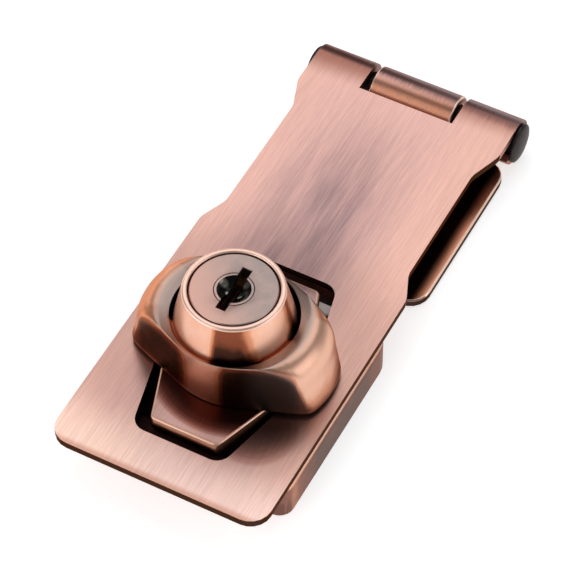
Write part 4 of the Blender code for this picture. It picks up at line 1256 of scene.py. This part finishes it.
@dataclass
class Studio:
    """Floor, world, lamps and the camera, which stands where the photograph was taken."""

    azimuth: float = 28.6004
    elevation: float = 51.7829
    roll: float = -0.75724
    distance: float = 406.19 * MM
    aim: Place = (0.0, -5.4 * MM, 5.0 * MM)
    slide: tuple[float, float] = (-1.24839 * MM, -1.80705 * MM)
    pixels_per_mm: float = 7.31447
    frame_pixels: int = 576
    sensor: float = 36.0
    floor_radius: float = 6.0
    floor_glow: float = 0.58
    room_band: tuple[float, float] = (0.02, 0.45)
    room_strength: tuple[float, float] = (0.62, 0.28)
    lamp_distance: float = 1.2
    lamps: tuple[Lamp, ...] = (
        Lamp("key", 110.0, 57.0, (1.3, 0.9), 1.1),
        Lamp("left_strip", -130.0, 24.0, (1.25, 0.9), 1.25),
        Lamp("back_left", 148.0, 14.0, (0.8, 0.42), 1.1),
        Lamp("right_strip", 10.0, 26.0, (0.9, 0.8), 1.2),
        Lamp("front_fill", -118.0, 56.0, (0.5, 0.5), 1.0))

    def camera(self) -> None:
        """Adds the camera: turned about the aim point, rolled and slid sideways."""
        az, el, roll = (math.radians(a) for a in (self.azimuth, self.elevation, self.roll))
        back = Vector((math.sin(az) * math.cos(el), -math.cos(az) * math.cos(el),
                       math.sin(el)))
        level = Vector((math.cos(az), math.sin(az), 0.0))
        rise = back.cross(level)
        right = level * math.cos(roll) + rise * math.sin(roll)
        up = rise * math.cos(roll) - level * math.sin(roll)
        data = bpy.data.cameras.new("camera")
        data.sensor_width = self.sensor
        data.lens = (self.pixels_per_mm / MM * self.distance * self.sensor
                     / self.frame_pixels)
        data.clip_start, data.clip_end = 0.01, 50.0
        made = add_object("camera", data)
        turned = Matrix((right, up, back)).transposed().to_4x4()
        turned.translation = (Vector(self.aim) - self.slide[0] * right
                              - self.slide[1] * up + self.distance * back)
        made.matrix_world = turned
        bpy.context.scene.camera = made

    def floor(self) -> None:
        """Adds the pale floor, which keeps the lock's shadow."""
        bm = bmesh.new()
        bmesh.ops.create_circle(bm, cap_ends=True, segments=96, radius=self.floor_radius)
        mesh = mesh_of(bm, "floor")
        made = add_object("floor", mesh)
        g = Graph("floor_paint")
        rays = g.node("ShaderNodeLightPath")
        seen = g.calc("MAXIMUM", rays.outputs["Is Camera Ray"],
                      g.calc("MAXIMUM", rays.outputs["Is Glossy Ray"],
                             rays.outputs["Is Transmission Ray"]))
        glow = g.times(seen, self.floor_glow)
        cloud = g.noise(g.coords((0.01, 0.01, 0.01)), 1.0)
        mesh.materials.append(g.finish(
            Base_Color=g.blend(cloud, (0.84, 0.84, 0.84), (0.88, 0.88, 0.88)),
            Roughness=0.9, Emission_Color=(1.0, 1.0, 1.0), Emission_Strength=glow))

    def world(self) -> None:
        """Fills the room with an even light that is paler towards the horizon."""
        world = bpy.data.worlds.new("room")
        world.use_nodes = True
        tree = world.node_tree
        shader = tree.nodes["Background"]
        source = tree.nodes.new("ShaderNodeTexCoord")
        split = tree.nodes.new("ShaderNodeSeparateXYZ")
        height = tree.nodes.new("ShaderNodeMapRange")
        height.interpolation_type = "SMOOTHSTEP"
        for name, value in zip(("From Min", "From Max", "To Min", "To Max"),
                               self.room_band + self.room_strength):
            height.inputs[name].default_value = value
        tree.links.new(source.outputs["Generated"], split.inputs[0])
        tree.links.new(split.outputs[2], height.inputs["Value"])
        tree.links.new(height.outputs[0], shader.inputs["Strength"])
        shader.inputs["Color"].default_value = (1.0, 1.0, 1.0, 1.0)
        bpy.context.scene.world = world

    def lamp(self, plan: Lamp) -> None:
        """Adds one lamp, whose power follows from its radiance and its face's area."""
        data = bpy.data.lights.new(plan.name, "AREA")
        data.shape = "RECTANGLE"
        data.size, data.size_y = plan.size
        data.energy = plan.radiance * math.pi * plan.size[0] * plan.size[1]
        made = add_object(plan.name, data)
        a, e = math.radians(plan.azimuth), math.radians(plan.elevation)
        out = Vector((math.cos(a) * math.cos(e), math.sin(a) * math.cos(e), math.sin(e)))
        made.location = Vector(self.aim) + out * self.lamp_distance
        made.rotation_mode = "QUATERNION"
        made.rotation_quaternion = out.to_track_quat("Z", "Y")

    def build(self) -> None:
        """Adds everything round the lock."""
        self.camera()
        self.floor()
        self.world()
        for plan in self.lamps:
            self.lamp(plan)
        bpy.context.scene.view_settings.view_transform = "Standard"


def main() -> None:
    """Builds the lock's looks in order."""
    logging.basicConfig(level=logging.INFO, format="%(name)s %(message)s")
    Studio().build()
    shop = Workshop()
    Leaves(shop).build()
    LockBase(shop).build()
    HingePin(shop).build()
    CrossKnob(shop).build()
    KeyPlug(shop).build()
    for node in ("lock_bolt", "shank_cap", "thrust_washer", "wave_washer", "spring_clip"):
        shop.dress(node, STEEL)


if __name__ == "__main__":
    main()
